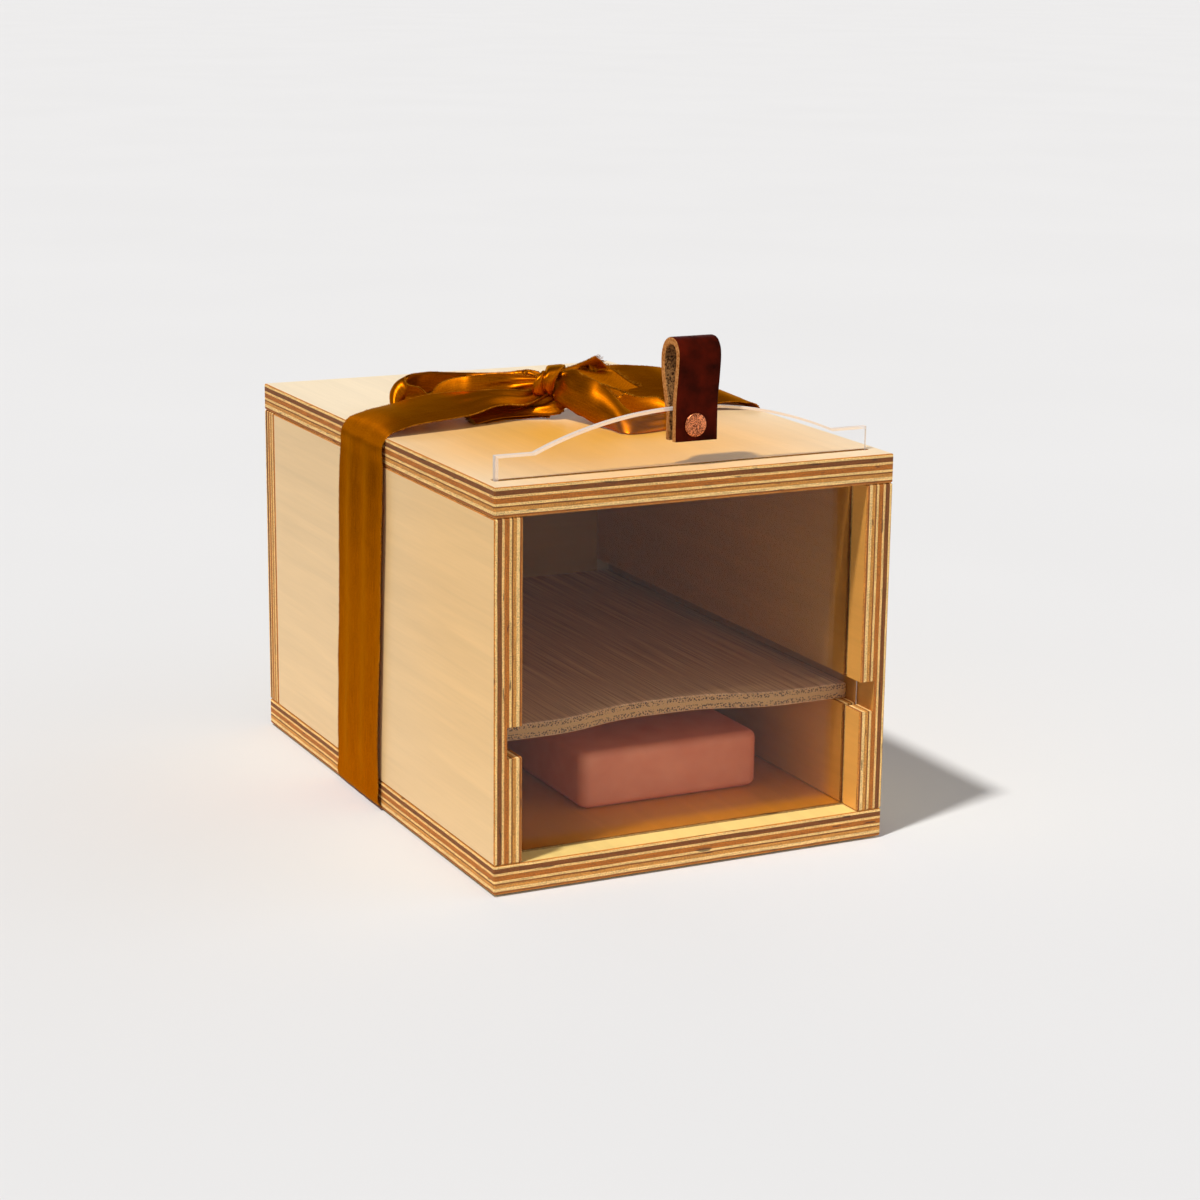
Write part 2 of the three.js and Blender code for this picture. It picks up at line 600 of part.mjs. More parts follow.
// Ribbon laid against the underside and the two sides of the case.
function addRibbonWrap() {
  const half = RIBBON_WIDTH / 2;
  const under = blockBetween(
    [-BOX_WIDTH / 2, RIBBON_UNDER_Y - half, 0],
    [BOX_WIDTH / 2, RIBBON_UNDER_Y + half, RIBBON_THICKNESS],
  );
  addPiece('ribbon_under', under, satin);
  const high = topZ + SEAT_GAP + RIBBON_THICKNESS;
  for (const [name, side] of [['left', -1], ['right', 1]]) {
    const x = side * (BOX_WIDTH / 2 + SEAT_GAP + RIBBON_THICKNESS / 2);
    const strip = ribbonSolid([
      [[x, RIBBON_UNDER_Y + half, 0], [x, RIBBON_UNDER_Y - half, 0]],
      [[x, RIBBON_TOP_Y + half, high], [x, RIBBON_TOP_Y - half, high]],
    ], 1);
    addPiece(`ribbon_${name}_side`, strip, satin);
  }
}

// The knot as a round lump, grown all round by a clearance.
function knotBall(clearance) {
  const ball = new THREE.SphereGeometry(1, ROUND_SIDES, ROUND_SIDES / 2);
  const [x, y, z] = KNOT_PLACE.map((share) => share * RIBBON_WIDTH);
  ball.scale(...KNOT_HALF.map((share) => share * RIBBON_WIDTH + clearance));
  return solidOf(ball.translate(x, y, topZ + z));
}

function addKnot() {
  addPiece('bow_knot', knotBall(0), satin);
}

// Adds a ribbon that ends in the knot, cut off just clear of the knot's surface.
function addTiedRibbon(name, stations) {
  const ribbon = ribbonSolid(stations, STEPS_PER_STATION * (stations.length - 1));
  addPiece(name, ribbon.subtract(knotBall(SEAT_GAP)), satin);
}

// Ribbon rising from each top edge of the case to the knot, gathered as it comes in.
function addBands() {
  const half = RIBBON_WIDTH / 2;
  const edge = BOX_WIDTH / 2;
  const low = topZ + SEAT_GAP + RIBBON_THICKNESS;
  const place = ([x, y, z]) => [x * edge, y * RIBBON_WIDTH, topZ + z * RIBBON_WIDTH];
  for (const [name, side, rows] of [['left', -1, LEFT_BAND], ['right', 1, RIGHT_BAND]]) {
    const bend = [[side * edge, RIBBON_TOP_Y + half, low], [side * edge, RIBBON_TOP_Y - half, low]];
    addTiedRibbon(`ribbon_${name}_band`, [bend, ...rows.map((row) => row.map(place))]);
  }
}

// The two loops and the two cut ends of the bow.
function addBow() {
  const place = (point) => point.map((share) => share * RIBBON_WIDTH);
  const above = ([x, y, z]) => [x, y, topZ + z];
  const ways = {
    bow_back_loop: BACK_LOOP,
    bow_front_loop: FRONT_LOOP,
    bow_right_tail: RIGHT_TAIL,
    bow_left_tail: LEFT_TAIL,
  };
  for (const [name, rows] of Object.entries(ways)) {
    addTiedRibbon(name, rows.map((row) => row.map((point) => above(place(point)))));
  }
}

addBottomPanel();
addSidePanels();
addBackPanel();
addTopPanel();
addDowels();
addDoorPane();
addLeatherPull();
addRivet();
addShelf();
addClayBrick();
addRibbonWrap();
addKnot();
addBands();
addBow();

export default box;
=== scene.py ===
# A cheese storage box: a birch plywood case with a lift-out acrylic door, a bamboo shelf and a clay brick
# inside, tied round with a satin ribbon. Metres, +Z up, front towards -Y.

import math

import bpy
import numpy as np
from mathutils import Matrix, Vector, noise


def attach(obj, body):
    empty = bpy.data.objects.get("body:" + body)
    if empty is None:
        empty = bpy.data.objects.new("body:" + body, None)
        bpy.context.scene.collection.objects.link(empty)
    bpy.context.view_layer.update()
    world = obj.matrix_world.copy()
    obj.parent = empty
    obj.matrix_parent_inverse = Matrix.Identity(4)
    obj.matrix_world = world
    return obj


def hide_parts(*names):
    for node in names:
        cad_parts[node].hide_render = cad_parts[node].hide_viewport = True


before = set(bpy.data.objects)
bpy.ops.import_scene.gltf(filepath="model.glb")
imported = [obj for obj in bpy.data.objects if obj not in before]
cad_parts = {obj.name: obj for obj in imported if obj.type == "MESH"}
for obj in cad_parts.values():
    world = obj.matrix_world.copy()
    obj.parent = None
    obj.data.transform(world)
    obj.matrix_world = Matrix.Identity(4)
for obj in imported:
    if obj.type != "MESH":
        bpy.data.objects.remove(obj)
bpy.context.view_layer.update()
scene = bpy.context.scene

# Camera: it stands to the left of the box's front, a little over a metre away, and looks slightly down.
# The lens is a short telephoto, so the box's long sides draw together only a little.
camera = bpy.data.objects.new("camera", bpy.data.cameras.new("camera"))
camera.data.sensor_width = 36.0
camera.data.lens = 81.43
turn, tilt, roll = (math.radians(angle) for angle in (-26.233, 13.923, 0.614))
back = Vector((math.sin(turn) * math.cos(tilt), -math.cos(turn) * math.cos(tilt), math.sin(tilt)))
level = Vector((math.cos(turn), math.sin(turn), 0.0))
right = level * math.cos(roll) + back.cross(level) * math.sin(roll)
camera.matrix_world = Matrix((right, back.cross(right), back)).transposed().to_4x4()
camera.location = (-0.49315, -1.04279, 0.36736)
scene.collection.objects.link(camera)
scene.camera = camera
scene.view_settings.view_transform = "Standard"


# Table and light: a white table top, one small lamp high on the left and a little in front, and a pale room
# that fills the shadows, most of all from the right and low in front. A white screen stands low behind, and
# the ceiling and the upper wall behind are dim. The table keeps the box's shadow.
LAMP_WAY = (0.44, 0.168, -0.88)
TABLE_LEFT, TABLE_FRONT, TABLE_FAR = -0.48, -0.9, 20.0


def linear(code):
    """A colour code such as #e8c890 as linear red, green, blue and alpha."""
    parts = [int(code[i : i + 2], 16) / 255 for i in (1, 3, 5)]
    return tuple(p / 12.92 if p <= 0.04045 else ((p + 0.055) / 1.055) ** 2.4 for p in parts) + (1.0,)


def per_metre(size_mm):
    """A pattern's scale: how many details of this size in millimetres lie in a metre."""
    return 1000 / size_mm


def add_node(tree, kind, settings=None, links=None, stops=()):
    """One node with its settings. An input takes a plain value or a (node, output) pair, and a colour ramp
    takes stops of (position, colour code)."""
    node = tree.nodes.new(kind)
    for name, value in (settings or {}).items():
        setattr(node, name, value)
    for name, source in (links or {}).items():
        if isinstance(source, tuple) and isinstance(source[0], bpy.types.Node):
            tree.links.new(source[0].outputs[source[1]], node.inputs[name])
        else:
            node.inputs[name].default_value = source
    for i, (position, code) in enumerate(stops):
        stop = node.color_ramp.elements[i] if i < 2 else node.color_ramp.elements.new(position)
        stop.position, stop.color = position, linear(code)
    return node


def new_material(name):
    """A new material, its node tree and its Principled shader."""
    material = bpy.data.materials.new(name)
    material.use_nodes = True
    return material, material.node_tree, material.node_tree.nodes["Principled BSDF"]


world = bpy.data.worlds.new("studio")
scene.world = world
world.use_nodes = True
tree = world.node_tree
tree.nodes.clear()
direction = add_node(tree, "ShaderNodeTexCoord")
way = add_node(tree, "ShaderNodeSeparateXYZ", links={0: (direction, "Generated")})
ray = add_node(tree, "ShaderNodeLightPath")
light = {
    kind: (ray, kind) for kind in ("Is Camera Ray", "Is Glossy Ray", "Is Transmission Ray", "Diffuse Depth")
}
# Each range runs along one axis of the direction, from one place to another and from one value to another.
for name, axis, start, end, first, last in (
    ("rise", "Z", 0.0, 0.55, 0.33, 0.85),
    ("ceiling", "Z", 0.72, 0.97, 1.0, 0.3),
    ("high", "Z", 0.42, 0.66, 0.0, 0.95),
    ("rear", "Y", -0.2, 0.4, 0.0, 1.0),
    ("front", "Y", 0.2, -1.0, 0.0, 1.5),
    ("low", "Z", 0.05, 0.5, 1.0, 0.0),
    ("behind", "Y", 0.2, 0.7, 0.0, 1.0),
    ("upright", "Z", 0.25, 0.42, 1.0, 0.0),
    ("window", "X", 0.4, 0.85, 0.55, 1.5),
    ("horizon", "Z", -0.04, 0.0, 0.15, 1.0),
):
    edges = {0: (way, axis), 1: start, 2: end, 3: first, 4: last}
    light[name] = (add_node(tree, "ShaderNodeMapRange", links=edges), 0)
# The room's brightness is put together first, and then which rays see plain white in its place.
for name, operation, *terms in (
    ("dim", "MULTIPLY", "high", "rear"),
    ("lit", "SUBTRACT", 1.0, "dim"),
    ("upper", "MULTIPLY", "ceiling", "lit"),
    ("walls", "MULTIPLY", "rise", "upper"),
    ("screen", "MULTIPLY", "behind", "upright"),
    ("bank", "MULTIPLY_ADD", "front", "low", "screen"),
    ("room", "ADD", "walls", "bank"),
    ("above", "MULTIPLY", "room", "horizon"),
    ("fill", "MULTIPLY", "above", "window"),
    ("direct", "LESS_THAN", "Diffuse Depth", 0.5),
    ("through", "MULTIPLY", "Is Transmission Ray", "direct"),
    ("standing", "MULTIPLY", "screen", "horizon"),
    ("mirrored", "MULTIPLY", "Is Glossy Ray", "standing"),
    ("clear", "MAXIMUM", "Is Camera Ray", "through"),
    ("white", "MAXIMUM", "clear", "mirrored"),
):
    inputs = {i: light.get(term, term) for i, term in enumerate(terms)}
    light[name] = (add_node(tree, "ShaderNodeMath", {"operation": operation}, inputs), 0)
fill = add_node(tree, "ShaderNodeBackground", links={"Color": linear("#f8f9ff"), "Strength": light["fill"]})
plain = add_node(tree, "ShaderNodeBackground", links={"Color": linear("#f2f3f4"), "Strength": 1.0})
shown = add_node(tree, "ShaderNodeMixShader", links={0: light["white"], 1: (fill, 0), 2: (plain, 0)})
add_node(tree, "ShaderNodeOutputWorld", links={0: (shown, 0)})

lamp = bpy.data.objects.new("lamp", bpy.data.lights.new("lamp", "SUN"))
lamp.data.energy = 2.95
lamp.data.color = (1.0, 0.98, 0.95)
lamp.data.angle = math.radians(4.5)
lamp.rotation_euler = Vector(LAMP_WAY).to_track_quat("-Z", "Y").to_euler()
scene.collection.objects.link(lamp)

table = bpy.data.objects.new("table", bpy.data.meshes.new("table"))
near_edge = [(TABLE_LEFT, TABLE_FRONT, 0), (TABLE_FAR, TABLE_FRONT, 0)]
far_edge = [(TABLE_FAR, TABLE_FAR, 0), (TABLE_LEFT, TABLE_FAR, 0)]
table.data.from_pydata(near_edge + far_edge, [], [(0, 1, 2, 3)])
scene.collection.objects.link(table)
# White painted board: matt, with the faintest clouding.
white_top, tree, shader = new_material("white_table")
place = add_node(tree, "ShaderNodeTexCoord")
cloud = add_node(
    tree, "ShaderNodeTexNoise", links={"Vector": (place, "Object"), "Scale": per_metre(333), "Detail": 2.0}
)
shade = add_node(tree, "ShaderNodeValToRGB", None, {0: (cloud, 0)}, ((0.0, "#dadada"), (1.0, "#dedede")))
tree.links.new(shade.outputs[0], shader.inputs["Base Color"])
shader.inputs["Roughness"].default_value = 0.9
shader.inputs["Specular IOR Level"].default_value = 0.0
table.data.materials.append(white_top)


# Plywood panels: bottom, two sides, back and top, sawn from 12 mm birch plywood of nine plies and glued.
# The faces are pale rotary-cut birch; every sawn edge and groove shows the plies, pale and brown in turn.
PLYWOOD_THICKNESS = 0.012
PLY_ENDS_MM = (0.4, 1.3, 3.2, 4.2, 6.3, 7.3, 7.9, 9.3, 10.6, 11.3, 12.0)
PLY_TONES = (
    "#c87c2a", "#f8ca7c", "#824814", "#f4c274", "#b8691a", "#f6c87a", "#8e521a", "#d28e3c", "#f6ca80",
    "#9e581a", "#c67c2c",
)
PLY_WANDER = 0.035  # how far the lines between plies stray, as a share of the thickness
CHAMBER_CENTRE, CHAMBER_HALF = (0.0, 0.0016, 0.0818), (0.076, 0.1164, 0.069)
# The side panels' painted chamber shade reaches this far forward, over their front lips.
LIP = 0.0152  # from the chamber forward to the side panels' front edges


def plywood(name, axis, outer, inward, grain, outside, inside, painted_glow=None, lip=0.0):
    """Plywood whose thickness runs along an axis, inward from its outer face. It gives the eye silky faces
    with long faint grain, a painted golden glow of light round one spot where given, painted shade on the
    faces in the chamber, darker and more orange, and on every cut the striped plies with their pores, streaks
    and a few dark voids."""
    material, tree, shader = new_material(name)
    place = add_node(tree, "ShaderNodeTexCoord")
    parts = add_node(tree, "ShaderNodeSeparateXYZ", links={0: (place, "Object")})
    deep = add_node(
        tree, "ShaderNodeMapRange", {"clamp": False},
        {0: (parts, axis), 1: outer, 2: outer + inward * PLYWOOD_THICKNESS, 3: 0.0, 4: 1.0},
    )
    surface = add_node(tree, "ShaderNodeNewGeometry")
    lean = add_node(tree, "ShaderNodeSeparateXYZ", links={0: (surface, "Normal")})
    upright = add_node(tree, "ShaderNodeMath", {"operation": "ABSOLUTE"}, {0: (lean, axis)})
    flat = add_node(tree, "ShaderNodeMath", {"operation": "GREATER_THAN"}, {0: (upright, 0), 1: 0.8})

    # Patterns, each with its size in mm along one axis and across it: the plies' straying lines, saw streaks,
    # pores and voids for the edges, then the grain and the fibres of the faces.
    pattern = {}
    for kind, along, length_mm, width_mm, detail, distortion in (
        ("straying", axis, 200.0, 33.3, 2.0, 0.0),
        ("streak", axis, 0.217, 6.67, 3.0, 0.0),
        ("pore", axis, 0.526, 0.526, 2.0, 0.0),
        ("void", axis, 1.43, 11.1, 1.0, 0.0),
        ("figure", grain, 156.0, 8.93, 4.0, 0.6),
        ("fibre", grain, 33.3, 1.11, 2.0, 0.0),
    ):
        scale = [per_metre(width_mm)] * 3
        scale[along] = per_metre(length_mm)
        stretched = add_node(
            tree, "ShaderNodeVectorMath", {"operation": "MULTIPLY"}, {0: (place, "Object"), 1: scale}
        )
        looks = {"Scale": 1.0, "Detail": detail, "Distortion": distortion}
        pattern[kind] = (add_node(tree, "ShaderNodeTexNoise", links={"Vector": (stretched, 0), **looks}), 0)

    # Edges: the plies in turn, streaked and pored, with a few voids.
    moved = add_node(
        tree, "ShaderNodeMath", {"operation": "MULTIPLY_ADD"},
        {0: pattern["straying"], 1: PLY_WANDER, 2: (deep, 0)},
    )
    shifted = add_node(tree, "ShaderNodeMath", {"operation": "SUBTRACT"}, {0: (moved, 0), 1: PLY_WANDER / 2})
    starts = (0.0,) + tuple(end / PLY_ENDS_MM[-1] for end in PLY_ENDS_MM[:-1])
    plies = add_node(tree, "ShaderNodeValToRGB", None, {0: (shifted, 0)}, tuple(zip(starts, PLY_TONES)))
    plies.color_ramp.interpolation = "CONSTANT"
    mixed = add_node(
        tree, "ShaderNodeMath", {"operation": "ADD"}, {0: pattern["streak"], 1: pattern["pore"]}
    )
    shade = add_node(tree, "ShaderNodeMapRange", links={0: (mixed, 0), 1: 0.7, 2: 1.3, 3: 0.5, 4: 1.35})
    streaked = add_node(
        tree, "ShaderNodeMix", {"data_type": "RGBA", "blend_type": "MULTIPLY"},
        {0: 1.0, 6: (plies, 0), 7: (shade, 0)},
    )
    gap = add_node(tree, "ShaderNodeMapRange", links={0: pattern["void"], 1: 0.7, 2: 0.74, 3: 0.0, 4: 0.7})
    edge = add_node(
        tree, "ShaderNodeMix", {"data_type": "RGBA"}, {0: (gap, 0), 6: (streaked, 2), 7: linear("#3b2412")}
    )

    # Faces: the outside, with a painted golden glow of light near one spot, and painted shade inside the
    # chamber:
    # a darker, more orange copy of the same veneer.
    skin = linear(outside)
    if painted_glow:
        glow_spot, reach, glow_colour = painted_glow
        far = add_node(
            tree, "ShaderNodeVectorMath", {"operation": "DISTANCE"}, {0: (place, "Object"), 1: glow_spot}
        )
        near = add_node(
            tree, "ShaderNodeMapRange", {"interpolation_type": "SMOOTHSTEP"},
            {0: (far, 1), 1: 0.15 * reach, 2: reach, 3: 1.0, 4: 0.0},
        )
        glowing = add_node(
            tree, "ShaderNodeMix", {"data_type": "RGBA"}, {0: (near, 0), 6: skin, 7: linear(glow_colour)}
        )
        skin = (glowing, 2)
    # Painted shade: faces inside the chamber, and on the side panels their front lips too, take the darker
    # inside colour.
    centre = Vector(CHAMBER_CENTRE) - Vector((0.0, lip / 2, 0.0))
    half = Vector(CHAMBER_HALF) + Vector((0.0, lip / 2, 0.0))
    centred = add_node(
        tree, "ShaderNodeVectorMath", {"operation": "SUBTRACT"}, {0: (place, "Object"), 1: centre}
    )
    spread = add_node(tree, "ShaderNodeVectorMath", {"operation": "ABSOLUTE"}, {0: (centred, 0)})
    beyond = add_node(tree, "ShaderNodeVectorMath", {"operation": "SUBTRACT"}, {0: (spread, 0), 1: half})
    excess = add_node(tree, "ShaderNodeSeparateXYZ", links={0: (beyond, 0)})
    wider = add_node(tree, "ShaderNodeMath", {"operation": "MAXIMUM"}, {0: (excess, "X"), 1: (excess, "Y")})
    widest = add_node(tree, "ShaderNodeMath", {"operation": "MAXIMUM"}, {0: (wider, 0), 1: (excess, "Z")})
    in_shaded_chamber = add_node(tree, "ShaderNodeMath", {"operation": "LESS_THAN"}, {0: (widest, 0), 1: 0.0003})
    side = add_node(
        tree, "ShaderNodeMix", {"data_type": "RGBA"}, {0: (in_shaded_chamber, 0), 6: skin, 7: linear(inside)}
    )

    # A groove's bottom lies in the inner plies. Grain and fibres shade every face.
    inner = add_node(tree, "ShaderNodeMath", {"operation": "COMPARE"}, {0: (deep, 0), 1: 0.5, 2: 0.42})
    veneer = add_node(
        tree, "ShaderNodeMix", {"data_type": "RGBA"}, {0: (inner, 0), 6: (side, 2), 7: linear("#c98a3e")}
    )
    tone = add_node(
        tree, "ShaderNodeMapRange", links={0: pattern["figure"], 1: 0.3, 2: 0.7, 3: 0.93, 4: 1.03}
    )
    thread = add_node(
        tree, "ShaderNodeMapRange", links={0: pattern["fibre"], 1: 0.3, 2: 0.7, 3: 0.975, 4: 1.015}
    )
    both = add_node(tree, "ShaderNodeMath", {"operation": "MULTIPLY"}, {0: (tone, 0), 1: (thread, 0)})
    face = add_node(
        tree, "ShaderNodeMix", {"data_type": "RGBA", "blend_type": "MULTIPLY"},
        {0: 1.0, 6: (veneer, 2), 7: (both, 0)},
    )
    colour = add_node(
        tree, "ShaderNodeMix", {"data_type": "RGBA"}, {0: (flat, 0), 6: (edge, 2), 7: (face, 2)}
    )
    tree.links.new(colour.outputs[2], shader.inputs["Base Color"])
    rough = add_node(tree, "ShaderNodeMapRange", links={0: (flat, 0), 3: 0.8, 4: 0.4})
    tree.links.new(rough.outputs[0], shader.inputs["Roughness"])
    sawn = add_node(tree, "ShaderNodeMapRange", links={0: (flat, 0), 3: 0.3, 4: 0.0})
    raised = add_node(
        tree, "ShaderNodeBump", links={"Height": (mixed, 0), "Strength": (sawn, 0), "Distance": 0.0001}
    )
    tree.links.new(raised.outputs[0], shader.inputs["Normal"])
    return material


# Painted glows of light: the left face grows more golden towards its front top corner, standing in for how
# the light falls there, and the top grows more golden round its middle in front, a painted reflection of
# amber light thrown from the bow.
LEFT_PAINTED_GLOW = ((-0.088, -0.11, 0.115), 0.13, "#efc27e")
TOP_PAINTED_GLOW = ((-0.008, -0.062, 0.1628), 0.14, "#f0ae42")
# Each panel: thickness axis, outer face, inward way, grain axis, its face colour, the darker colour painted
# as shade on its faces in the chamber, and where given its painted glow and its lip.
PANELS = {
    "bottom_panel": (2, 0.0128, -1, 1, "#f8d682", "#e89426"),
    "left_side_panel": (0, -0.088, 1, 1, "#ebc68e", "#d2903c", LEFT_PAINTED_GLOW, LIP),
    "right_side_panel": (0, 0.088, -1, 1, "#fde0a6", "#e4a24c", None, LIP),
    "back_panel": (1, 0.130, -1, 0, "#e0bb84", "#cc9246"),
    "top_panel": (2, 0.1628, -1, 1, "#f0dab4", "#d2903c", TOP_PAINTED_GLOW),
}
for panel, build in PANELS.items():
    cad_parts[panel].data.materials[0] = plywood(f"birch_{panel}", *build)


# Dowels: sixteen turned beech pins, 6 mm thick, glued blind across the seams. They hide in the panels.
# Beech is a plain pale brown with short dark flecks along the grain.
beech, tree, shader = new_material("beech_dowel")
place = add_node(tree, "ShaderNodeTexCoord")
flecks = (per_metre(0.667), per_metre(0.667), per_metre(5.0))
stretched = add_node(
    tree, "ShaderNodeVectorMath", {"operation": "MULTIPLY"}, {0: (place, "Object"), 1: flecks}
)
fleck = add_node(tree, "ShaderNodeTexNoise", links={"Vector": (stretched, 0), "Scale": 1.0, "Detail": 2.0})
tone = add_node(tree, "ShaderNodeValToRGB", None, {0: (fleck, 0)}, ((0.35, "#a87d4c"), (0.6, "#d9b27c")))
tree.links.new(tone.outputs[0], shader.inputs["Base Color"])
shader.inputs["Roughness"].default_value = 0.65
for node_name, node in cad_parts.items():
    if node_name.startswith("dowel_"):
        node.data.materials[0] = beech


# Door: one sheet of 3.2 mm clear acrylic, cut with square shoulders and a shallow arch, that slides up out
# of its grooves. The sheet is clear with a faint grey; its cut edges are matt and catch the light.
acrylic, tree, shader = new_material("clear_acrylic")
shader.inputs["Base Color"].default_value = linear("#fdfcfb")
shader.inputs["Roughness"].default_value = 0.02
shader.inputs["IOR"].default_value = 1.49
shader.inputs["Specular Tint"].default_value = (0.3, 0.3, 0.3, 1.0)
shader.inputs["Transmission Weight"].default_value = 1.0
surface = add_node(tree, "ShaderNodeNewGeometry")
lean = add_node(tree, "ShaderNodeSeparateXYZ", links={0: (surface, "Normal")})
upright = add_node(tree, "ShaderNodeMath", {"operation": "ABSOLUTE"}, {0: (lean, "Y")})
cut = add_node(tree, "ShaderNodeMapRange", links={0: (upright, 0), 1: 0.7, 2: 0.72, 3: 1.0, 4: 0.0})
matt = add_node(
    tree, "ShaderNodeBsdfPrincipled",
    links={"Base Color": linear("#f0e2d6"), "Roughness": 0.4, "IOR": 1.49, "Transmission Weight": 0.3},
)
edges = add_node(tree, "ShaderNodeMixShader", links={0: (cut, 0), 1: (shader, 0), 2: (matt, 0)})
through = add_node(tree, "ShaderNodeBsdfTransparent", links={0: (0.55, 0.53, 0.5, 1.0)})
ray = add_node(tree, "ShaderNodeLightPath")
lit = add_node(
    tree, "ShaderNodeMixShader", links={0: (ray, "Is Shadow Ray"), 1: (edges, 0), 2: (through, 0)}
)
tree.links.new(lit.outputs[0], tree.nodes["Material Output"].inputs["Surface"])
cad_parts["door_pane"].data.materials[0] = acrylic


# Leather pull: one strap of 3 mm vegetable-tanned hide, cut to 18.6 mm, folded over the door's arch with
# its smooth grain side out and riveted through both legs. The cut edges are tan and the inside is rough.
STRAP_WIDTH, STRAP_THICKNESS, STRAP_LENGTH = 0.0186, 0.003, 0.083
STRAP_X, DOOR_Y_MM = 0.002, -116.9
STRAP_LINE_MM = (  # places along the middle of the hide: in front of or behind the door, and height
    (-3.35, 172.8), (-3.35, 186.0), (-3.7, 191.0), (-4.5, 196.0), (-5.1, 201.0), (-5.5, 205.0),
    (-5.2, 208.6), (-3.4, 211.2), (-0.8, 212.0), (2.4, 211.6), (5.2, 209.6), (6.8, 206.0), (6.9, 201.0),
    (5.9, 195.5), (4.3, 190.0), (3.35, 185.5), (3.35, 172.8),
)
FLESH_ROUGHNESS, TUFTS_PER_METRE = 0.0003, 700.0


def new_tree(name, sockets):
    """A geometry node tree with the named inputs, each a (name, socket kind), after the geometry itself."""
    tree = bpy.data.node_groups.new(name, "GeometryNodeTree")
    tree.interface.new_socket(name="Geometry", in_out="OUTPUT", socket_type="NodeSocketGeometry")
    tree.interface.new_socket(name="Geometry", in_out="INPUT", socket_type="NodeSocketGeometry")
    for socket_name, kind in sockets:
        tree.interface.new_socket(name=socket_name, in_out="INPUT", socket_type=kind)
    return tree, tree.nodes.new("NodeGroupInput")


def grow(name, points, chains, tree, values):
    """A new plain mesh object: what a geometry node tree, with its inputs set by name, makes of lines, where
    each chain of points is one line."""
    mesh = bpy.data.meshes.new(f"{name}_line")
    mesh.from_pydata(points, [(i, i + 1) for chain in chains for i in chain[:-1]], [])
    obj = bpy.data.objects.new(name, mesh)
    scene.collection.objects.link(obj)
    modifier = obj.modifiers.new(tree.name, "NODES")
    modifier.node_group = tree
    for item in tree.interface.items_tree:
        if item.in_out == "INPUT" and item.name in values:
            modifier[item.identifier] = values[item.name]
    obj.update_tag()
    grown = obj.evaluated_get(bpy.context.evaluated_depsgraph_get())
    plain = bpy.data.meshes.new_from_object(grown)
    obj.modifiers.remove(modifier)
    obj.data = plain
    return obj


# Vegetable-tanned leather: a dark red-brown waxed grain side, tan cut edges and a hairy flesh side. Its pores
# and hairs are drawn two or three times as coarse as they are, so that they show.
leather, tree, shader = new_material("vegetable_tanned_leather")
place = add_node(tree, "ShaderNodeTexCoord")
skin_depth = add_node(tree, "ShaderNodeAttribute", {"attribute_name": "skin_depth"})
patches, pores, hairs = (
    add_node(
        tree, "ShaderNodeTexNoise",
        links={"Vector": (place, "Object"), "Scale": per_metre(size_mm), "Detail": detail},
    )
    for size_mm, detail in ((8.33, 4.0), (0.667, 2.0), (0.769, 4.0))
)
grain = add_node(tree, "ShaderNodeValToRGB", None, {0: (patches, 0)}, ((0.3, "#230400"), (0.75, "#5a1203")))
flesh = add_node(tree, "ShaderNodeValToRGB", None, {0: (hairs, 0)}, ((0.36, "#2c1408"), (0.66, "#b98550")))
tan_edge = add_node(tree, "ShaderNodeValToRGB", None, {0: (hairs, 0)}, ((0.3, "#965420"), (0.7, "#cf9558")))
inside = add_node(tree, "ShaderNodeMath", {"operation": "GREATER_THAN"}, {0: (skin_depth, "Fac"), 1: 0.97})
outside = add_node(tree, "ShaderNodeMath", {"operation": "LESS_THAN"}, {0: (skin_depth, "Fac"), 1: 0.06})
cut = add_node(
    tree, "ShaderNodeMix", {"data_type": "RGBA"}, {0: (inside, 0), 6: (tan_edge, 0), 7: (flesh, 0)}
)
hide = add_node(tree, "ShaderNodeMix", {"data_type": "RGBA"}, {0: (outside, 0), 6: (cut, 2), 7: (grain, 0)})
tree.links.new(hide.outputs[2], shader.inputs["Base Color"])
polish = add_node(tree, "ShaderNodeMapRange", links={0: (outside, 0), 3: 0.9, 4: 0.55})
tree.links.new(polish.outputs[0], shader.inputs["Roughness"])
shader.inputs["Specular IOR Level"].default_value = 0.06
shader.inputs["Specular Tint"].default_value = (1.0, 0.45, 0.35, 1.0)
raised = add_node(
    tree, "ShaderNodeBump", links={"Height": (pores, 0), "Strength": 0.15, "Distance": 0.0001}
)
tree.links.new(raised.outputs[0], shader.inputs["Normal"])

# The strap: the path is smoothed, swept with a round-cornered section, and its inner side is roughened.
tree, given = new_tree(
    "strap",
    [("Width", "NodeSocketFloat"), ("Thickness", "NodeSocketFloat"), ("Roughness", "NodeSocketFloat"),
     ("Material", "NodeSocketMaterial")],
)
line = add_node(tree, "GeometryNodeMeshToCurve", links={0: (given, "Geometry")})
spline = add_node(tree, "GeometryNodeCurveSplineType", {"spline_type": "CATMULL_ROM"}, {0: (line, 0)})
fine = add_node(tree, "GeometryNodeResampleCurve", {"mode": "LENGTH"}, {0: (spline, 0), "Length": 0.0007})
turned = add_node(
    tree, "GeometryNodeSetCurveNormal", {"mode": "FREE"}, {0: (fine, 0), "Normal": (1.0, 0.0, 0.0)}
)
outline = add_node(
    tree, "GeometryNodeCurvePrimitiveQuadrilateral", {"mode": "RECTANGLE"},
    {"Width": (given, "Width"), "Height": (given, "Thickness")},
)
rounded = add_node(
    tree, "GeometryNodeFilletCurve", {"mode": "POLY"},
    {0: (outline, 0), "Radius": 0.0005, "Limit Radius": True, "Count": 4},
)
section = add_node(
    tree, "GeometryNodeResampleCurve", {"mode": "LENGTH"}, {0: (rounded, 0), "Length": 0.0004}
)
where = add_node(tree, "GeometryNodeInputPosition")
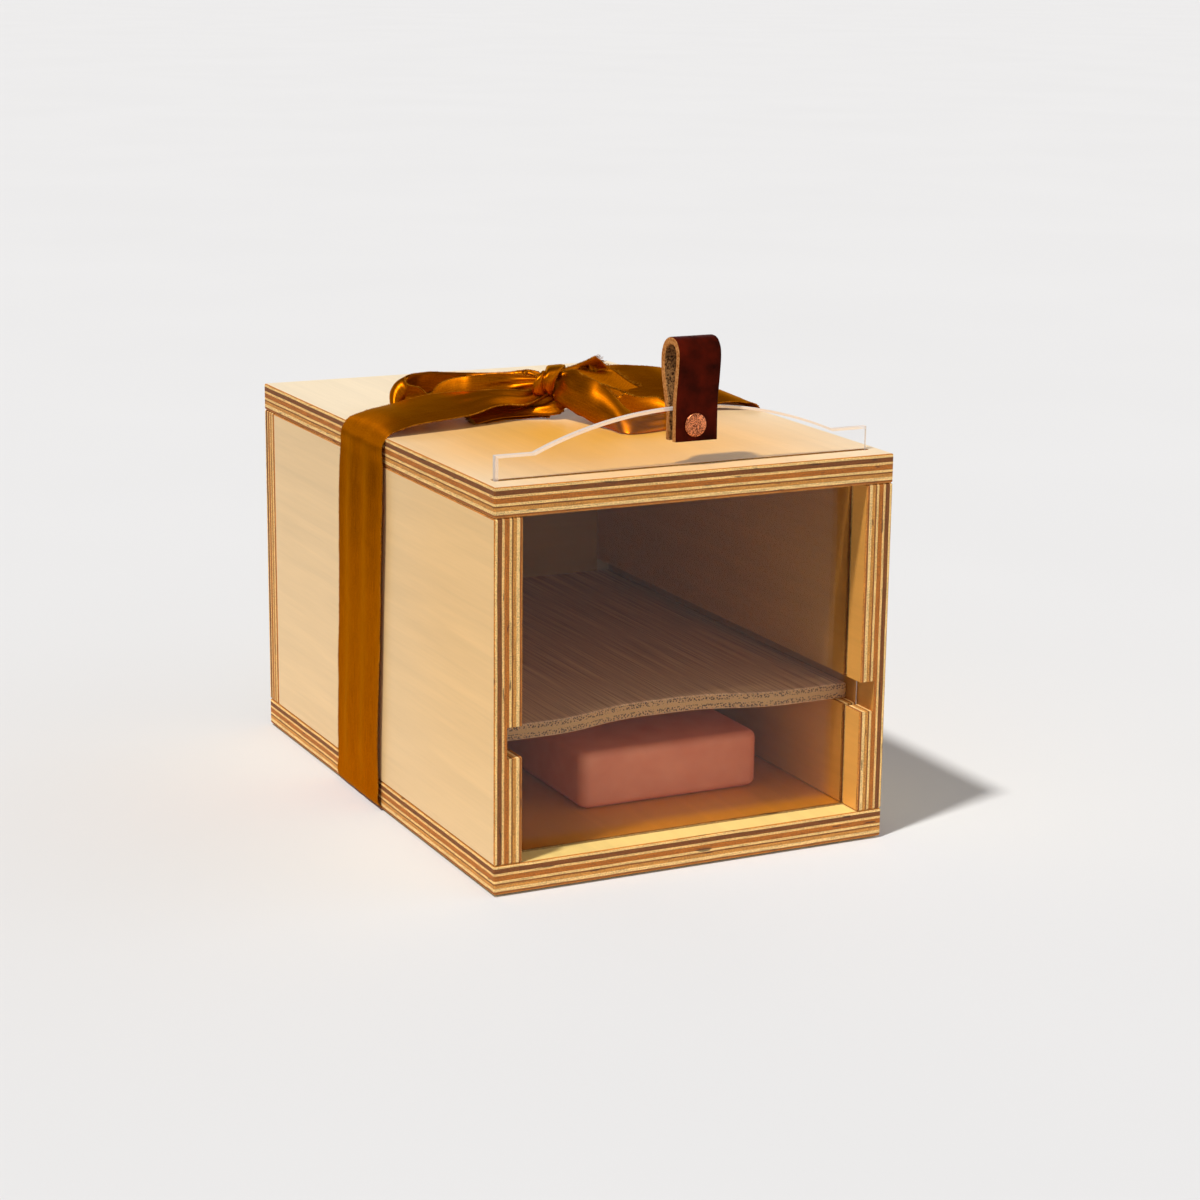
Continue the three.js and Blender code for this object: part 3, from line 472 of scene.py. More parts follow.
parts = add_node(tree, "ShaderNodeSeparateXYZ", links={0: (where, 0)})
share = add_node(
    tree, "ShaderNodeMath", {"operation": "DIVIDE"}, {0: (parts, "Y"), 1: (given, "Thickness")}
)
depth = add_node(tree, "ShaderNodeMath", {"operation": "ADD"}, {0: (share, 0), 1: 0.5})
marked = add_node(
    tree, "GeometryNodeStoreNamedAttribute", {"data_type": "FLOAT", "domain": "POINT"},
    {0: (section, 0), "Name": "skin_depth", "Value": (depth, 0)},
)
swept = add_node(
    tree, "GeometryNodeCurveToMesh",
    links={"Curve": (turned, 0), "Profile Curve": (marked, 0), "Fill Caps": True},
)
stored = add_node(tree, "GeometryNodeInputNamedAttribute", {"data_type": "FLOAT"}, {"Name": "skin_depth"})
tuft = add_node(
    tree, "ShaderNodeTexNoise", links={"Vector": (where, 0), "Scale": TUFTS_PER_METRE, "Detail": 3.0}
)
lift = add_node(tree, "ShaderNodeMath", {"operation": "SUBTRACT"}, {0: (tuft, 0), 1: 0.5})
rough = add_node(tree, "ShaderNodeMath", {"operation": "MULTIPLY"}, {0: (lift, 0), 1: (stored, 0)})
amount = add_node(
    tree, "ShaderNodeMath", {"operation": "MULTIPLY"}, {0: (rough, 0), 1: (given, "Roughness")}
)
outward = add_node(tree, "GeometryNodeInputNormal")
offset = add_node(
    tree, "ShaderNodeVectorMath", {"operation": "SCALE"}, {0: (outward, 0), "Scale": (amount, 0)}
)
shaped = add_node(tree, "GeometryNodeSetPosition", links={0: (swept, 0), "Offset": (offset, 0)})
smooth = add_node(tree, "GeometryNodeSetShadeSmooth", links={0: (shaped, 0)})
whole = add_node(tree, "GeometryNodeRealizeInstances", links={0: (smooth, 0)})
painted = add_node(tree, "GeometryNodeSetMaterial", links={0: (whole, 0), "Material": (given, "Material")})
add_node(tree, "NodeGroupOutput", links={0: (painted, 0)})
strap = grow(
    "leather_strap", [(STRAP_X, (y + DOOR_Y_MM) / 1000, z / 1000) for y, z in STRAP_LINE_MM],
    [range(len(STRAP_LINE_MM))], tree,
    {"Width": STRAP_WIDTH, "Thickness": STRAP_THICKNESS, "Roughness": FLESH_ROUGHNESS, "Material": leather},
)
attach(strap, "door")
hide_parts("leather_pull")


# Rivet and burr: a copper rivet with a low round head on the front, and the copper washer its end is
# hammered over behind. The head is soft metal, dented and scratched all over, with the scratches gone dark.
copper, tree, shader = new_material("hammered_copper")
place = add_node(tree, "ShaderNodeTexCoord")
dents, scratches = (
    add_node(
        tree, "ShaderNodeTexNoise",
        links={"Vector": (place, "Object"), "Scale": per_metre(size_mm), "Detail": 3.0, "Distortion": bend},
    )
    for size_mm, bend in ((1.43, 0.0), (3.03, 3.0))
)
thin = add_node(tree, "ShaderNodeMath", {"operation": "SUBTRACT"}, {0: (scratches, 0), 1: 0.5})
near = add_node(tree, "ShaderNodeMath", {"operation": "ABSOLUTE"}, {0: (thin, 0)})
scratch = add_node(tree, "ShaderNodeMapRange", links={0: (near, 0), 1: 0.02, 2: 0.06, 3: 1.0, 4: 0.0})
metal = add_node(
    tree, "ShaderNodeMix", {"data_type": "RGBA"},
    {0: (scratch, 0), 6: linear("#f08e58"), 7: linear("#5a2410")},
)
tree.links.new(metal.outputs[2], shader.inputs["Base Color"])
shader.inputs["Metallic"].default_value = 0.75
shader.inputs["Roughness"].default_value = 0.42
raised = add_node(tree, "ShaderNodeBump", links={"Height": (dents, 0), "Strength": 0.8, "Distance": 0.0003})
tree.links.new(raised.outputs[0], shader.inputs["Normal"])
for fastener in ("rivet_burr", "rivet"):
    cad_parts[fastener].data.materials[0] = copper


# Shelf: one board of three-ply bamboo, 6.35 mm thick, its front edge sawn to a shallow wave. It slides in the
# side panels' level grooves. Fine straight fibres run front to back, and its cut edge shows dotted end grain.
SHELF_MIDDLE, MIDDLE_PLY_HALF = 0.0591, 0.0007
bamboo, tree, shader = new_material("three_ply_bamboo")
place = add_node(tree, "ShaderNodeTexCoord")
parts = add_node(tree, "ShaderNodeSeparateXYZ", links={0: (place, "Object")})
surface = add_node(tree, "ShaderNodeNewGeometry")
lean = add_node(tree, "ShaderNodeSeparateXYZ", links={0: (surface, "Normal")})
upright = add_node(tree, "ShaderNodeMath", {"operation": "ABSOLUTE"}, {0: (lean, "Z")})
flat = add_node(tree, "ShaderNodeMath", {"operation": "GREATER_THAN"}, {0: (upright, 0), 1: 0.7})
strands = (per_metre(0.769), per_metre(71.4), 0.0)
long = add_node(tree, "ShaderNodeVectorMath", {"operation": "MULTIPLY"}, {0: (place, "Object"), 1: strands})
fibres = add_node(tree, "ShaderNodeTexNoise", links={"Vector": (long, 0), "Scale": 1.0, "Detail": 4.0})
top = add_node(tree, "ShaderNodeValToRGB", None, {0: (fibres, 0)}, ((0.3, "#c08860"), (0.7, "#ffd29a")))
dots = add_node(tree, "ShaderNodeTexVoronoi", links={"Vector": (place, "Object"), "Scale": per_metre(0.8)})
dot = add_node(tree, "ShaderNodeMapRange", links={0: (dots, 0), 1: 0.3, 2: 0.52, 3: 0.0, 4: 1.0})
end = add_node(
    tree, "ShaderNodeMix", {"data_type": "RGBA"}, {0: (dot, 0), 6: linear("#4a2a12"), 7: linear("#d09a5c")}
)
middle_ply = add_node(
    tree, "ShaderNodeMath", {"operation": "COMPARE"}, {0: (parts, "Z"), 1: SHELF_MIDDLE, 2: MIDDLE_PLY_HALF}
)
edge = add_node(
    tree, "ShaderNodeMix", {"data_type": "RGBA"}, {0: (middle_ply, 0), 6: (end, 2), 7: linear("#cf9a5a")}
)
colour = add_node(tree, "ShaderNodeMix", {"data_type": "RGBA"}, {0: (flat, 0), 6: (edge, 2), 7: (top, 0)})
tree.links.new(colour.outputs[2], shader.inputs["Base Color"])
shader.inputs["Roughness"].default_value = 0.5
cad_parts["shelf"].data.materials[0] = bamboo


# Clay brick: a block of porous red clay, pressed with round corners and edges, that is wetted to keep the
# air in the box moist. It lies loose in the lower chamber. Fired clay is smooth, matt and a little blotchy.
clay, tree, shader = new_material("red_clay")
place = add_node(tree, "ShaderNodeTexCoord")
blotch, grit = (
    add_node(
        tree, "ShaderNodeTexNoise",
        links={"Vector": (place, "Object"), "Scale": per_metre(size_mm), "Detail": detail},
    )
    for size_mm, detail in ((11.1, 4.0), (0.556, 2.0))
)
tone = add_node(tree, "ShaderNodeValToRGB", None, {0: (blotch, 0)}, ((0.3, "#ee8c63"), (0.7, "#f69a70")))
tree.links.new(tone.outputs[0], shader.inputs["Base Color"])
shader.inputs["Roughness"].default_value = 0.6
raised = add_node(tree, "ShaderNodeBump", links={"Height": (grit, 0), "Strength": 0.2, "Distance": 0.0001})
tree.links.new(raised.outputs[0], shader.inputs["Normal"])
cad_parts["clay_brick"].data.materials[0] = clay


# Ribbon round the case: one length of 50 mm double-faced satin, taken under the box, up both sides and over
# the top to the knot. Its long edges are woven selvedges with a row of fine loops; it isn't glued anywhere.
RIBBON_WIDTH, RIBBON_THICKNESS = 0.05, 0.0003
SELVEDGE_PITCH, SELVEDGE_LOOP = 0.00095, 0.00038
SELVEDGE_OUT = 0.06  # how far a rounded edge stands out, as a share of the last column
TOP_MM = 162.8  # the top panel's face, from which the ribbon's heights are measured
LAYER_GAP_MM = 0.6  # between the layers of a folded length
FOLD = 0.985  # how sharp a fold is; 1 would be a knife edge
POCKET_PLACE, POCKET_WIDTH = 0.2, 0.1  # across the ribbon, as shares of its width
SAG_SKEW = 1.7  # puts the deepest sag nearer to the second edge
CREASES_PER_MM, FINE_CREASES_PER_MM, FINE_CREASE_DEPTH = 0.075, 0.21, 0.4

# Satin: silky threads float along the ribbon, so that its gloss spreads across it in broad soft bands. The
# threads are drawn about four times as coarse as they are, so that they show.
satin, tree, shader = new_material("satin_ribbon")
flat_map = add_node(tree, "ShaderNodeUVMap", {"uv_map": "UVMap"})
threads = (per_metre(0.385), per_metre(11.1), 0.0)
drawn = add_node(tree, "ShaderNodeVectorMath", {"operation": "MULTIPLY"}, {0: (flat_map, 0), 1: threads})
weave = add_node(tree, "ShaderNodeTexNoise", links={"Vector": (drawn, 0), "Scale": 1.0, "Detail": 2.0})
speck = add_node(
    tree, "ShaderNodeTexNoise", links={"Vector": (flat_map, 0), "Scale": per_metre(0.667), "Detail": 2.0}
)
mixed = add_node(tree, "ShaderNodeMath", {"operation": "ADD"}, {0: (weave, 0), 1: (speck, 0)})
mean = add_node(tree, "ShaderNodeMath", {"operation": "MULTIPLY"}, {0: (mixed, 0), 1: 0.5})
shade = add_node(tree, "ShaderNodeValToRGB", None, {0: (mean, 0)}, ((0.35, "#9a4c00"), (0.65, "#c06a06")))
tree.links.new(shade.outputs[0], shader.inputs["Base Color"])
shader.inputs["Metallic"].default_value = 0.92
shader.inputs["Specular IOR Level"].default_value = 0.0
shader.inputs["Specular Tint"].default_value = (1.0, 0.72, 0.22, 1.0)
shader.inputs["Roughness"].default_value = 0.42
shader.inputs["Anisotropic"].default_value = 0.7
around = add_node(tree, "ShaderNodeTangent", {"direction_type": "UV_MAP", "uv_map": "UVMap"})
tree.links.new(around.outputs[0], shader.inputs["Tangent"])
raised = add_node(
    tree, "ShaderNodeBump", links={"Height": (weave, 0), "Strength": 0.15, "Distance": 0.0001}
)
tree.links.new(raised.outputs[0], shader.inputs["Normal"])


def run(rows, folds=2.5, phase=0.0, inward=0, layers=6, step=1.4, columns=28, creases=0.45):
    """The middle surface of a ribbon, and its length. It passes through stations, in mm above the top panel,
    each with one selvedge, the other edge, the bulge, the pleats' depth and, where given, the sag and the
    depth of a pocket beside the first selvedge. Where the two edges are nearer than the ribbon is wide, it is
    folded to and fro between them, each layer a little further inward."""
    keys = np.array([[*row[0], *row[1], *row[2:], 0.0, 0.0][:10] for row in rows], float)
    middle = (keys[:, 0:3] + keys[:, 3:6]) / 2
    knots = np.concatenate([[0.0], np.cumsum(np.linalg.norm(np.diff(middle, axis=0), axis=1))])
    slopes = np.gradient(keys, knots, axis=0)
    at = np.linspace(0.0, knots[-1], max(8, int(knots[-1] / step)))
    piece = np.clip(np.searchsorted(knots, at, side="right") - 1, 0, len(rows) - 2)
    span = (knots[piece + 1] - knots[piece])[:, None]
    x = (at - knots[piece])[:, None] / span
    curve = (
        (2 * x**3 - 3 * x**2 + 1) * keys[piece]
        + (x**3 - 2 * x**2 + x) * span * slopes[piece]
        + (3 * x**2 - 2 * x**3) * keys[piece + 1]
        + (x**3 - x**2) * span * slopes[piece + 1]
    )
    chord = curve[:, 3:6] - curve[:, 0:3]
    wide = np.linalg.norm(chord, axis=1, keepdims=True)
    count = np.clip(RIBBON_WIDTH * 1000 / wide, 1.0, layers) if inward else np.ones_like(wide)
    passes = count * np.linspace(0.0, 1.0, columns + 1)[None, :]
    share = 0.5 - 0.5 * np.arcsin(FOLD * np.cos(math.pi * passes)) / math.asin(FOLD)
    along = np.gradient(curve[:, 0:6], axis=0)
    heading = along[:, None, 0:3] * (1 - share)[:, :, None] + along[:, None, 3:6] * share[:, :, None]
    normal = np.cross(chord[:, None], heading)
    normal /= np.maximum(np.linalg.norm(normal, axis=2, keepdims=True), 1e-9)
    surface = curve[:, None, 0:3] + chord[:, None] * share[:, :, None]
    bulge = curve[:, 6:7] * 4 * share * (1 - share)
    pleat = curve[:, 7:8] * np.sin(2 * math.pi * (folds * share + phase))
    crease = np.empty(share.shape)
    for i, j in np.ndindex(share.shape):
        point = Vector(surface[i, j])
        fine = FINE_CREASE_DEPTH * noise.noise(point * FINE_CREASES_PER_MM)
        crease[i, j] = creases * (noise.noise(point * CREASES_PER_MM) + fine)
    pocket = curve[:, 9:10] * np.exp(-(((share - POCKET_PLACE) / POCKET_WIDTH) ** 2))
    offset = pleat - bulge + crease + inward * LAYER_GAP_MM * passes - pocket
    surface[:, :, 2] -= curve[:, 8:9] * np.sin(math.pi * share**SAG_SKEW)
    return surface + normal * offset[:, :, None], knots[-1] / 1000


# Selvedge: a row of fine woven loops along both long edges of each length of ribbon.
selvedge_tree, given = new_tree(
    "selvedge_loops",
    [("Pitch", "NodeSocketFloat"), ("Loop", "NodeSocketFloat"), ("Seed", "NodeSocketInt"),
     ("Material", "NodeSocketMaterial")],
)
tree = selvedge_tree
line = add_node(tree, "GeometryNodeMeshToCurve", links={0: (given, "Geometry")})
even = add_node(
    tree, "GeometryNodeResampleCurve", {"mode": "LENGTH"}, {0: (line, 0), "Length": (given, "Pitch")}
)
bead = add_node(tree, "GeometryNodeMeshIcoSphere", links={"Radius": (given, "Loop"), "Subdivisions": 1})
vary = add_node(
    tree, "FunctionNodeRandomValue", {"data_type": "FLOAT"}, {2: 0.75, 3: 1.2, "Seed": (given, "Seed")}
)
row = add_node(
    tree, "GeometryNodeInstanceOnPoints", links={0: (even, 0), "Instance": (bead, 0), "Scale": (vary, 1)}
)
whole = add_node(tree, "GeometryNodeRealizeInstances", links={0: (row, 0)})
smooth = add_node(tree, "GeometryNodeSetShadeSmooth", links={0: (whole, 0)})
painted = add_node(tree, "GeometryNodeSetMaterial", links={0: (smooth, 0), "Material": (given, "Material")})
add_node(tree, "NodeGroupOutput", links={0: (painted, 0)})

# Selvedge thread: matt twisted yarn of the same dye, a little mottled.
selvedge_thread, tree, shader = new_material("selvedge_thread")
place = add_node(tree, "ShaderNodeTexCoord")
mottle = add_node(
    tree, "ShaderNodeTexNoise", links={"Vector": (place, "Object"), "Scale": per_metre(1.67), "Detail": 2.0}
)
shade = add_node(tree, "ShaderNodeValToRGB", None, {0: (mottle, 0)}, ((0.3, "#6b3a06"), (0.7, "#b5741c")))
tree.links.new(shade.outputs[0], shader.inputs["Base Color"])
shader.inputs["Roughness"].default_value = 0.7
shader.inputs["Specular IOR Level"].default_value = 0.0


def tie(name, surface, length, replaced, held, rests_on, others=()):
    """A length of the ribbon: its two faces, a fine thickness apart, and the loops along both selvedges. It
    rides on the case in place of the CAD nodes, with the other small pieces that belong to it."""
    count, columns = surface.shape[:2]
    normal = np.cross(np.gradient(surface, axis=1), np.gradient(surface, axis=0))
    normal /= np.maximum(np.linalg.norm(normal, axis=2, keepdims=True), 1e-9)
    half = normal * RIBBON_THICKNESS * 1000 / 2
    first = surface[:, :1] + (surface[:, :1] - surface[:, 1:2]) * SELVEDGE_OUT
    second = surface[:, -1:] + (surface[:, -1:] - surface[:, -2:-1]) * SELVEDGE_OUT
    rings = np.concatenate([surface + half, second, (surface - half)[:, ::-1], first], axis=1)
    size = rings.shape[1]
    raised = np.array([0.0, 0.0, TOP_MM / 1000])
    faces = []
    for i in range(count - 1):
        for j in range(size):
            n = (j + 1) % size
            faces.append((i * size + j, i * size + n, (i + 1) * size + n, (i + 1) * size + j))
    for ring, order in ((0, 1), (count - 1, -1)):
        for j in range(-1, columns):
            corners = [j + 1, j % size, size - 2 - j, size - 3 - j]
            corners = [ring * size + c for k, c in enumerate(corners) if c not in corners[:k]]
            faces.append(corners[::order])
    mesh = bpy.data.meshes.new(name)
    mesh.from_pydata((rings.reshape(-1, 3) / 1000 + raised).tolist(), [], faces)
    share = np.linspace(0.0, 1.0, columns)
    across = np.concatenate([share, [1.0], share[::-1], [0.0]]) * RIBBON_WIDTH
    flat = np.stack([np.tile(across, count), np.repeat(np.linspace(0.0, length, count), size)], axis=1)
    corners = np.empty(len(mesh.loops), np.int32)
    mesh.loops.foreach_get("vertex_index", corners)
    mesh.uv_layers.new(name="UVMap").data.foreach_set("uv", flat[corners].astype(np.float32).ravel())
    mesh.polygons.foreach_set("use_smooth", np.ones(len(mesh.polygons), bool))
    mesh.materials.append(satin)
    obj = bpy.data.objects.new(name, mesh)
    scene.collection.objects.link(obj)
    edges = np.concatenate([first, second])[:, 0] / 1000 + raised
    loops = grow(
        f"{name}_selvedge", edges.tolist(), [range(count), range(count, 2 * count)], selvedge_tree,
        {"Pitch": SELVEDGE_PITCH, "Loop": SELVEDGE_LOOP, "Seed": 7, "Material": selvedge_thread},
    )
    for piece in (obj, loops, *others):
        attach(piece, "case")
    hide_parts(*replaced)
    flat = (RIBBON_WIDTH, round(length, 3))


# From the knot left and down, under the box, up the right side and back to the knot.
WRAP = [
    ((-3.5, 5.0, 12.5), (-3.5, -0.5, 11.5), 0.0, 1.4),
    ((-12.0, 6.0, 11.0), (-15.0, -2.8, 7.0), 0.5, 1.4),
    ((-22.7, 9.0, 11.6), (-27.7, -5.5, 7.6), 1.5, 0.9),
    ((-35.0, 11.5, 11.5), (-35.4, -8.0, 7.2), 2.0, 0.4),
    ((-44.3, 14.0, 11.0), (-43.8, -10.5, 5.6), 1.8, 0.2),
    ((-54.8, 17.0, 9.9), (-54.4, -13.5, 5.0), 1.8, 0.0),
    ((-69.0, 20.5, 6.6), (-67.3, -16.0, 4.6), 2.2, 0.0),
    ((-80.6, 24.0, 3.4), (-79.5, -18.5, 3.2), 2.0, 0.0),
    ((-86.9, 26.0, 0.7), (-86.5, -19.5, 0.9), 0.5, 0.0),
    ((-89.0, 26.8, -2.6), (-89.3, -20.0, -2.4), 0.1, 0.1),
    ((-88.8, 29.5, -12.0), (-89.8, -20.4, -12.0), 0.2, 0.4),
    ((-88.8, 33.8, -82.0), (-89.9, -16.4, -82.0), 0.2, 0.5),
    ((-88.7, 37.4, -152.0), (-89.6, -12.0, -152.0), 0.2, 0.3),
    ((-88.5, 37.6, -160.5), (-89.0, -11.8, -160.5), 0.0, 0.0),
    ((-87.0, 37.6, -162.4), (-87.0, -11.8, -162.4), 0.0, 0.0),
    ((-84.0, 37.6, -162.5), (-84.0, -11.8, -162.5), 0.0, 0.0),
    ((-60.0, 37.0, -162.5), (-60.0, -12.5, -162.5), 0.0, 0.0),
    ((60.0, 34.0, -162.5), (60.0, -15.5, -162.5), 0.0, 0.0),
    ((84.0, 33.0, -162.5), (84.0, -16.5, -162.5), 0.0, 0.0),
    ((87.0, 33.0, -162.4), (87.0, -16.5, -162.4), 0.0, 0.0),
    ((88.5, 33.0, -160.0), (88.5, -16.5, -160.0), 0.0, 0.0),
    ((88.5, 32.8, -152.0), (88.5, -17.0, -152.0), 0.0, 0.0),
    ((88.5, 31.0, -82.0), (88.5, -19.0, -82.0), 0.0, 0.0),
    ((88.5, 29.0, -12.0), (88.5, -20.0, -12.0), 0.0, 0.0),
    ((88.5, 28.6, -3.0), (88.5, -20.4, -3.0), 0.0, 0.0),
    ((87.5, 28.0, 1.2), (87.5, -19.5, 1.4), 0.0, 0.0),
    ((80.0, 26.5, 7.6), (80.0, -16.5, 3.6), 0.5, 0.0),
    ((62.6, 25.0, 13.4), (64.0, -11.0, 2.4), 1.0, 0.0),
    ((50.4, 24.5, 15.3), (50.0, -4.0, 1.6), 1.0, 0.0),
    ((38.2, 24.0, 16.4), (38.0, 0.0, 2.2), 0.8, 0.4),
    ((22.0, 18.0, 16.4), (22.0, 4.5, 6.4), 0.4, 0.8),
    ((8.0, 10.0, 15.2), (8.0, 6.8, 10.4), 0.0, 1.0),
    ((-2.6, 6.0, 15.0), (-2.6, 4.0, 12.8), 0.0, 0.8),
]
tie(
    "ribbon_wrap", *run(WRAP, creases=0.25),
    ["ribbon_under", "ribbon_left_side", "ribbon_right_side", "ribbon_left_band", "ribbon_right_band"],
    "stretched", ["bottom_panel", "left_side_panel", "right_side_panel", "top_panel"],
)


# Knot: the ribbon folded into six layers and wound slantwise round the gathered ends, so that it holds them.
# A deep crease parts it into two soft folds.
KNOT_CENTRE, KNOT_HALF = (-3.2, 4.0, 15.0), (5.0, 7.6, 6.2)
KNOT_LAYERS, KNOT_GAP, KNOT_LENGTH = 6, 0.35, 0.041
PARTING_DEPTH, PARTING_WIDTH, EDGE_DROP = 1.5, 0.16, 1.3
SQUARENESS = 0.8  # 1 would wind round an ellipse; less fills out its corners
turns = np.radians(np.linspace(-80.0, 260.0, 72))[:, None]
share = np.linspace(0.0, 1.0, 145)[None, :]
swing = 2 / math.pi * np.arcsin(FOLD * np.cos(math.pi * KNOT_LAYERS * share))
parting = -0.85 + 0.75 * (turns / (math.pi / 2) - 1)
furrow = PARTING_DEPTH * np.exp(-(((swing - parting) / PARTING_WIDTH) ** 2))
ridge = 0.4 - furrow - EDGE_DROP * swing**6
inner = ridge - KNOT_GAP * KNOT_LAYERS * share
slant = 0.5 + 2.2 * np.sin(turns) + 5.6 * np.cos(turns)
forward = np.sign(np.cos(turns)) * np.abs(np.cos(turns)) ** SQUARENESS
upward = np.sign(np.sin(turns)) * np.abs(np.sin(turns)) ** SQUARENESS
knot = np.stack(
    [
        KNOT_CENTRE[0] + KNOT_HALF[0] * swing + slant,
        KNOT_CENTRE[1] + (KNOT_HALF[1] + inner) * forward,
        KNOT_CENTRE[2] + (KNOT_HALF[2] + inner) * upward,
    ],
    axis=2,
)
tie("knot", knot, KNOT_LENGTH, ["bow_knot"], "folded", ["ribbon_wrap"])


# Back loop: the bow's left loop. From the knot it runs left behind the band, standing on one selvedge, turns
# in a round tip and comes back further behind, leaning forward a little, so that one looks down into it.
BACK_LOOP = [
    ((-3.2, 3.2, 16.4), (-3.2, 1.2, 13.2), 0.0, 0.8),
    ((-10.0, 8.8, 16.8), (-10.0, 5.2, 12.0), 0.3, 1.2),
    ((-19.0, 13.5, 17.6), (-20.0, 11.6, 8.4), 0.8, 0.7),
    ((-27.8, 14.8, 17.5), (-29.1, 12.8, 6.5), 1.2, 0.2),
    ((-34.5, 16.5, 17.0), (-35.7, 15.0, 5.0), 1.2, 0.0),
    ((-40.3, 20.5, 15.9), (-41.5, 19.5, 3.4), 1.0, 0.0),
    ((-46.0, 23.5, 13.2), (-46.8, 23.0, 1.8), 0.5, 0.0),
    ((-50.0, 25.0, 8.7), (-53.8, 24.5, 1.4), -0.5, 0.0),
    ((-53.5, 26.5, 11.7), (-60.4, 26.0, 2.2), -3.0, 0.0),
    ((-58.5, 29.5, 13.2), (-65.6, 28.5, 4.9), -2.5, 0.0),
    ((-57.6, 33.0, 15.0), (-65.6, 32.0, 4.3), 2.0, 0.0),
    ((-49.1, 34.0, 16.9), (-54.2, 38.0, 3.4), 1.5, 0.0),
    ((-39.3, 32.5, 16.7), (-41.7, 38.0, 3.4), 1.5, 0.0),
    ((-29.9, 30.0, 16.2), (-30.9, 34.5, 4.4), 1.2, 0.0),
    ((-15.8, 21.0, 16.9), (-14.9, 20.0, 6.4), 0.5, 0.6),
    ((-5.2, 13.2, 18.0), (-4.0, 12.0, 11.2), 0.0, 1.0),
    ((-2.4, 8.0, 16.4), (-2.4, 7.2, 13.2), 0.0, 0.8),
]
tie(
    "back_loop", *run(BACK_LOOP, inward=1, columns=64),
    ["bow_back_loop"], "gathered", ["knot", "top_panel"],
)


# Front loop: the bow's right loop. It leaves the knot as a broad slanting band, lies down on the top panel in
# front, turns and comes back to the knot underneath.
FRONT_LOOP = [
    ((-1.2, 1.6, 18.0), (-3.2, -0.4, 12.0), 0.0, 0.6),
    ((4.7, -1.0, 19.9), (-4.9, -4.0, 9.4), -1.6, 0.3),
    ((7.0, -9.0, 18.5), (-2.8, -13.0, 6.6), -2.4, 0.3),
    ((9.6, -17.0, 17.1), (0.4, -22.0, 3.6), -3.0, 0.0),
    ((12.3, -23.0, 13.8), (3.4, -31.0, 1.4), -3.0, 0.0),
    ((14.1, -28.0, 10.6), (5.0, -40.0, 0.96), -2.6, 0.0),
    ((15.9, -34.0, 7.2), (5.6, -47.5, 0.9), -2.0, 0.0),
    ((18.0, -38.0, 5.8), (9.0, -51.0, 0.9), -1.6, 0.0),
    ((21.8, -41.0, 5.8), (15.2, -51.0, 0.9), -1.2, 0.3),
    ((29.5, -40.0, 5.6), (25.6, -48.5, 0.9), -1.0, 0.3),
    ((40.9, -34.0, 5.6), (38.0, -43.0, 0.9), -1.0, 0.0),
    ((48.0, -22.0, 7.0), (49.0, -31.0, 0.9), -1.0, 0.0),
    ((48.0, -16.0, 6.2), (51.0, -25.0, 0.9), -0.5, 0.0),
    ((42.8, -14.0, 6.1), (45.5, -21.0, 0.9), 0.0, 0.0),
    ((33.4, -9.0, 7.6), (35.0, -11.5, 0.9), 0.0, 0.0),
    ((26.2, -4.0, 10.7), (27.0, -5.5, 2.0), 0.0, 0.0),
    ((19.6, 0.0, 13.2), (19.5, -1.2, 5.5), 0.0, 0.3),
    ((8.4, 4.0, 16.8), (6.0, 1.6, 10.8), 0.0, 0.6),
    ((-1.2, 4.4, 16.4), (-2.0, 2.8, 13.2), 0.0, 0.6),
]
tie(
    "front_loop", *run(FRONT_LOOP, inward=-1, columns=64, creases=0.2),
    ["bow_front_loop"], "gathered", ["knot", "top_panel"],
)


# Tails: the ribbon's two cut ends. The right one stands up from the knot like a sail, with a pocket beside
# its upper edge, and sags to the right. The left one slips out under the left band. Both ends are frayed.
FRAY_PITCH, FRAY_THREAD, FRAY_LENGTH = 0.0004, 0.0001, 0.0021
RIGHT_TAIL = [
    ((-1.2, 5.2, 18.8), (-1.2, 3.2, 17.6), 0.0, 0.0, 0.0, 0.0),
    ((11.7, 7.0, 20.6), (14.6, 3.0, 15.2), 0.0, 0.2, 0.0, 1.5),
    ((16.7, 8.5, 21.8), (24.8, 4.0, 10.6), 0.0, 0.3, 1.0, 6.0),
    ((19.6, 9.5, 22.6), (39.4, 6.0, 7.8), 0.0, 0.3, 2.8, 6.0),
    ((21.7, 10.0, 23.3), (53.5, 9.0, 8.5), 0.0, 0.3, 4.6, 1.0),
]
LEFT_TAIL = [
    ((-4.0, 3.2, 12.0), (-1.5, 0.0, 12.0), 0.0, 0.4),
    ((-6.5, 4.0, 9.6), (1.0, -5.5, 7.2), 0.8, 0.8),
    ((-11.0, 7.0, 8.0), (-4.0, -8.5, 3.2), 1.0, 0.9),
    ((-15.5, 9.0, 6.6), (-12.5, -5.0, 2.6), 0.6, 0.6),
    ((-22.0, 10.5, 5.2), (-22.6, -2.6, 2.4), 0.0, 0.4),
    ((-31.2, 10.0, 4.0), (-31.4, -3.4, 1.8), 0.0, 0.3),
    ((-40.0, 8.5, 2.6), (-41.4, -6.8, 1.2), 0.0, 0.3),
]

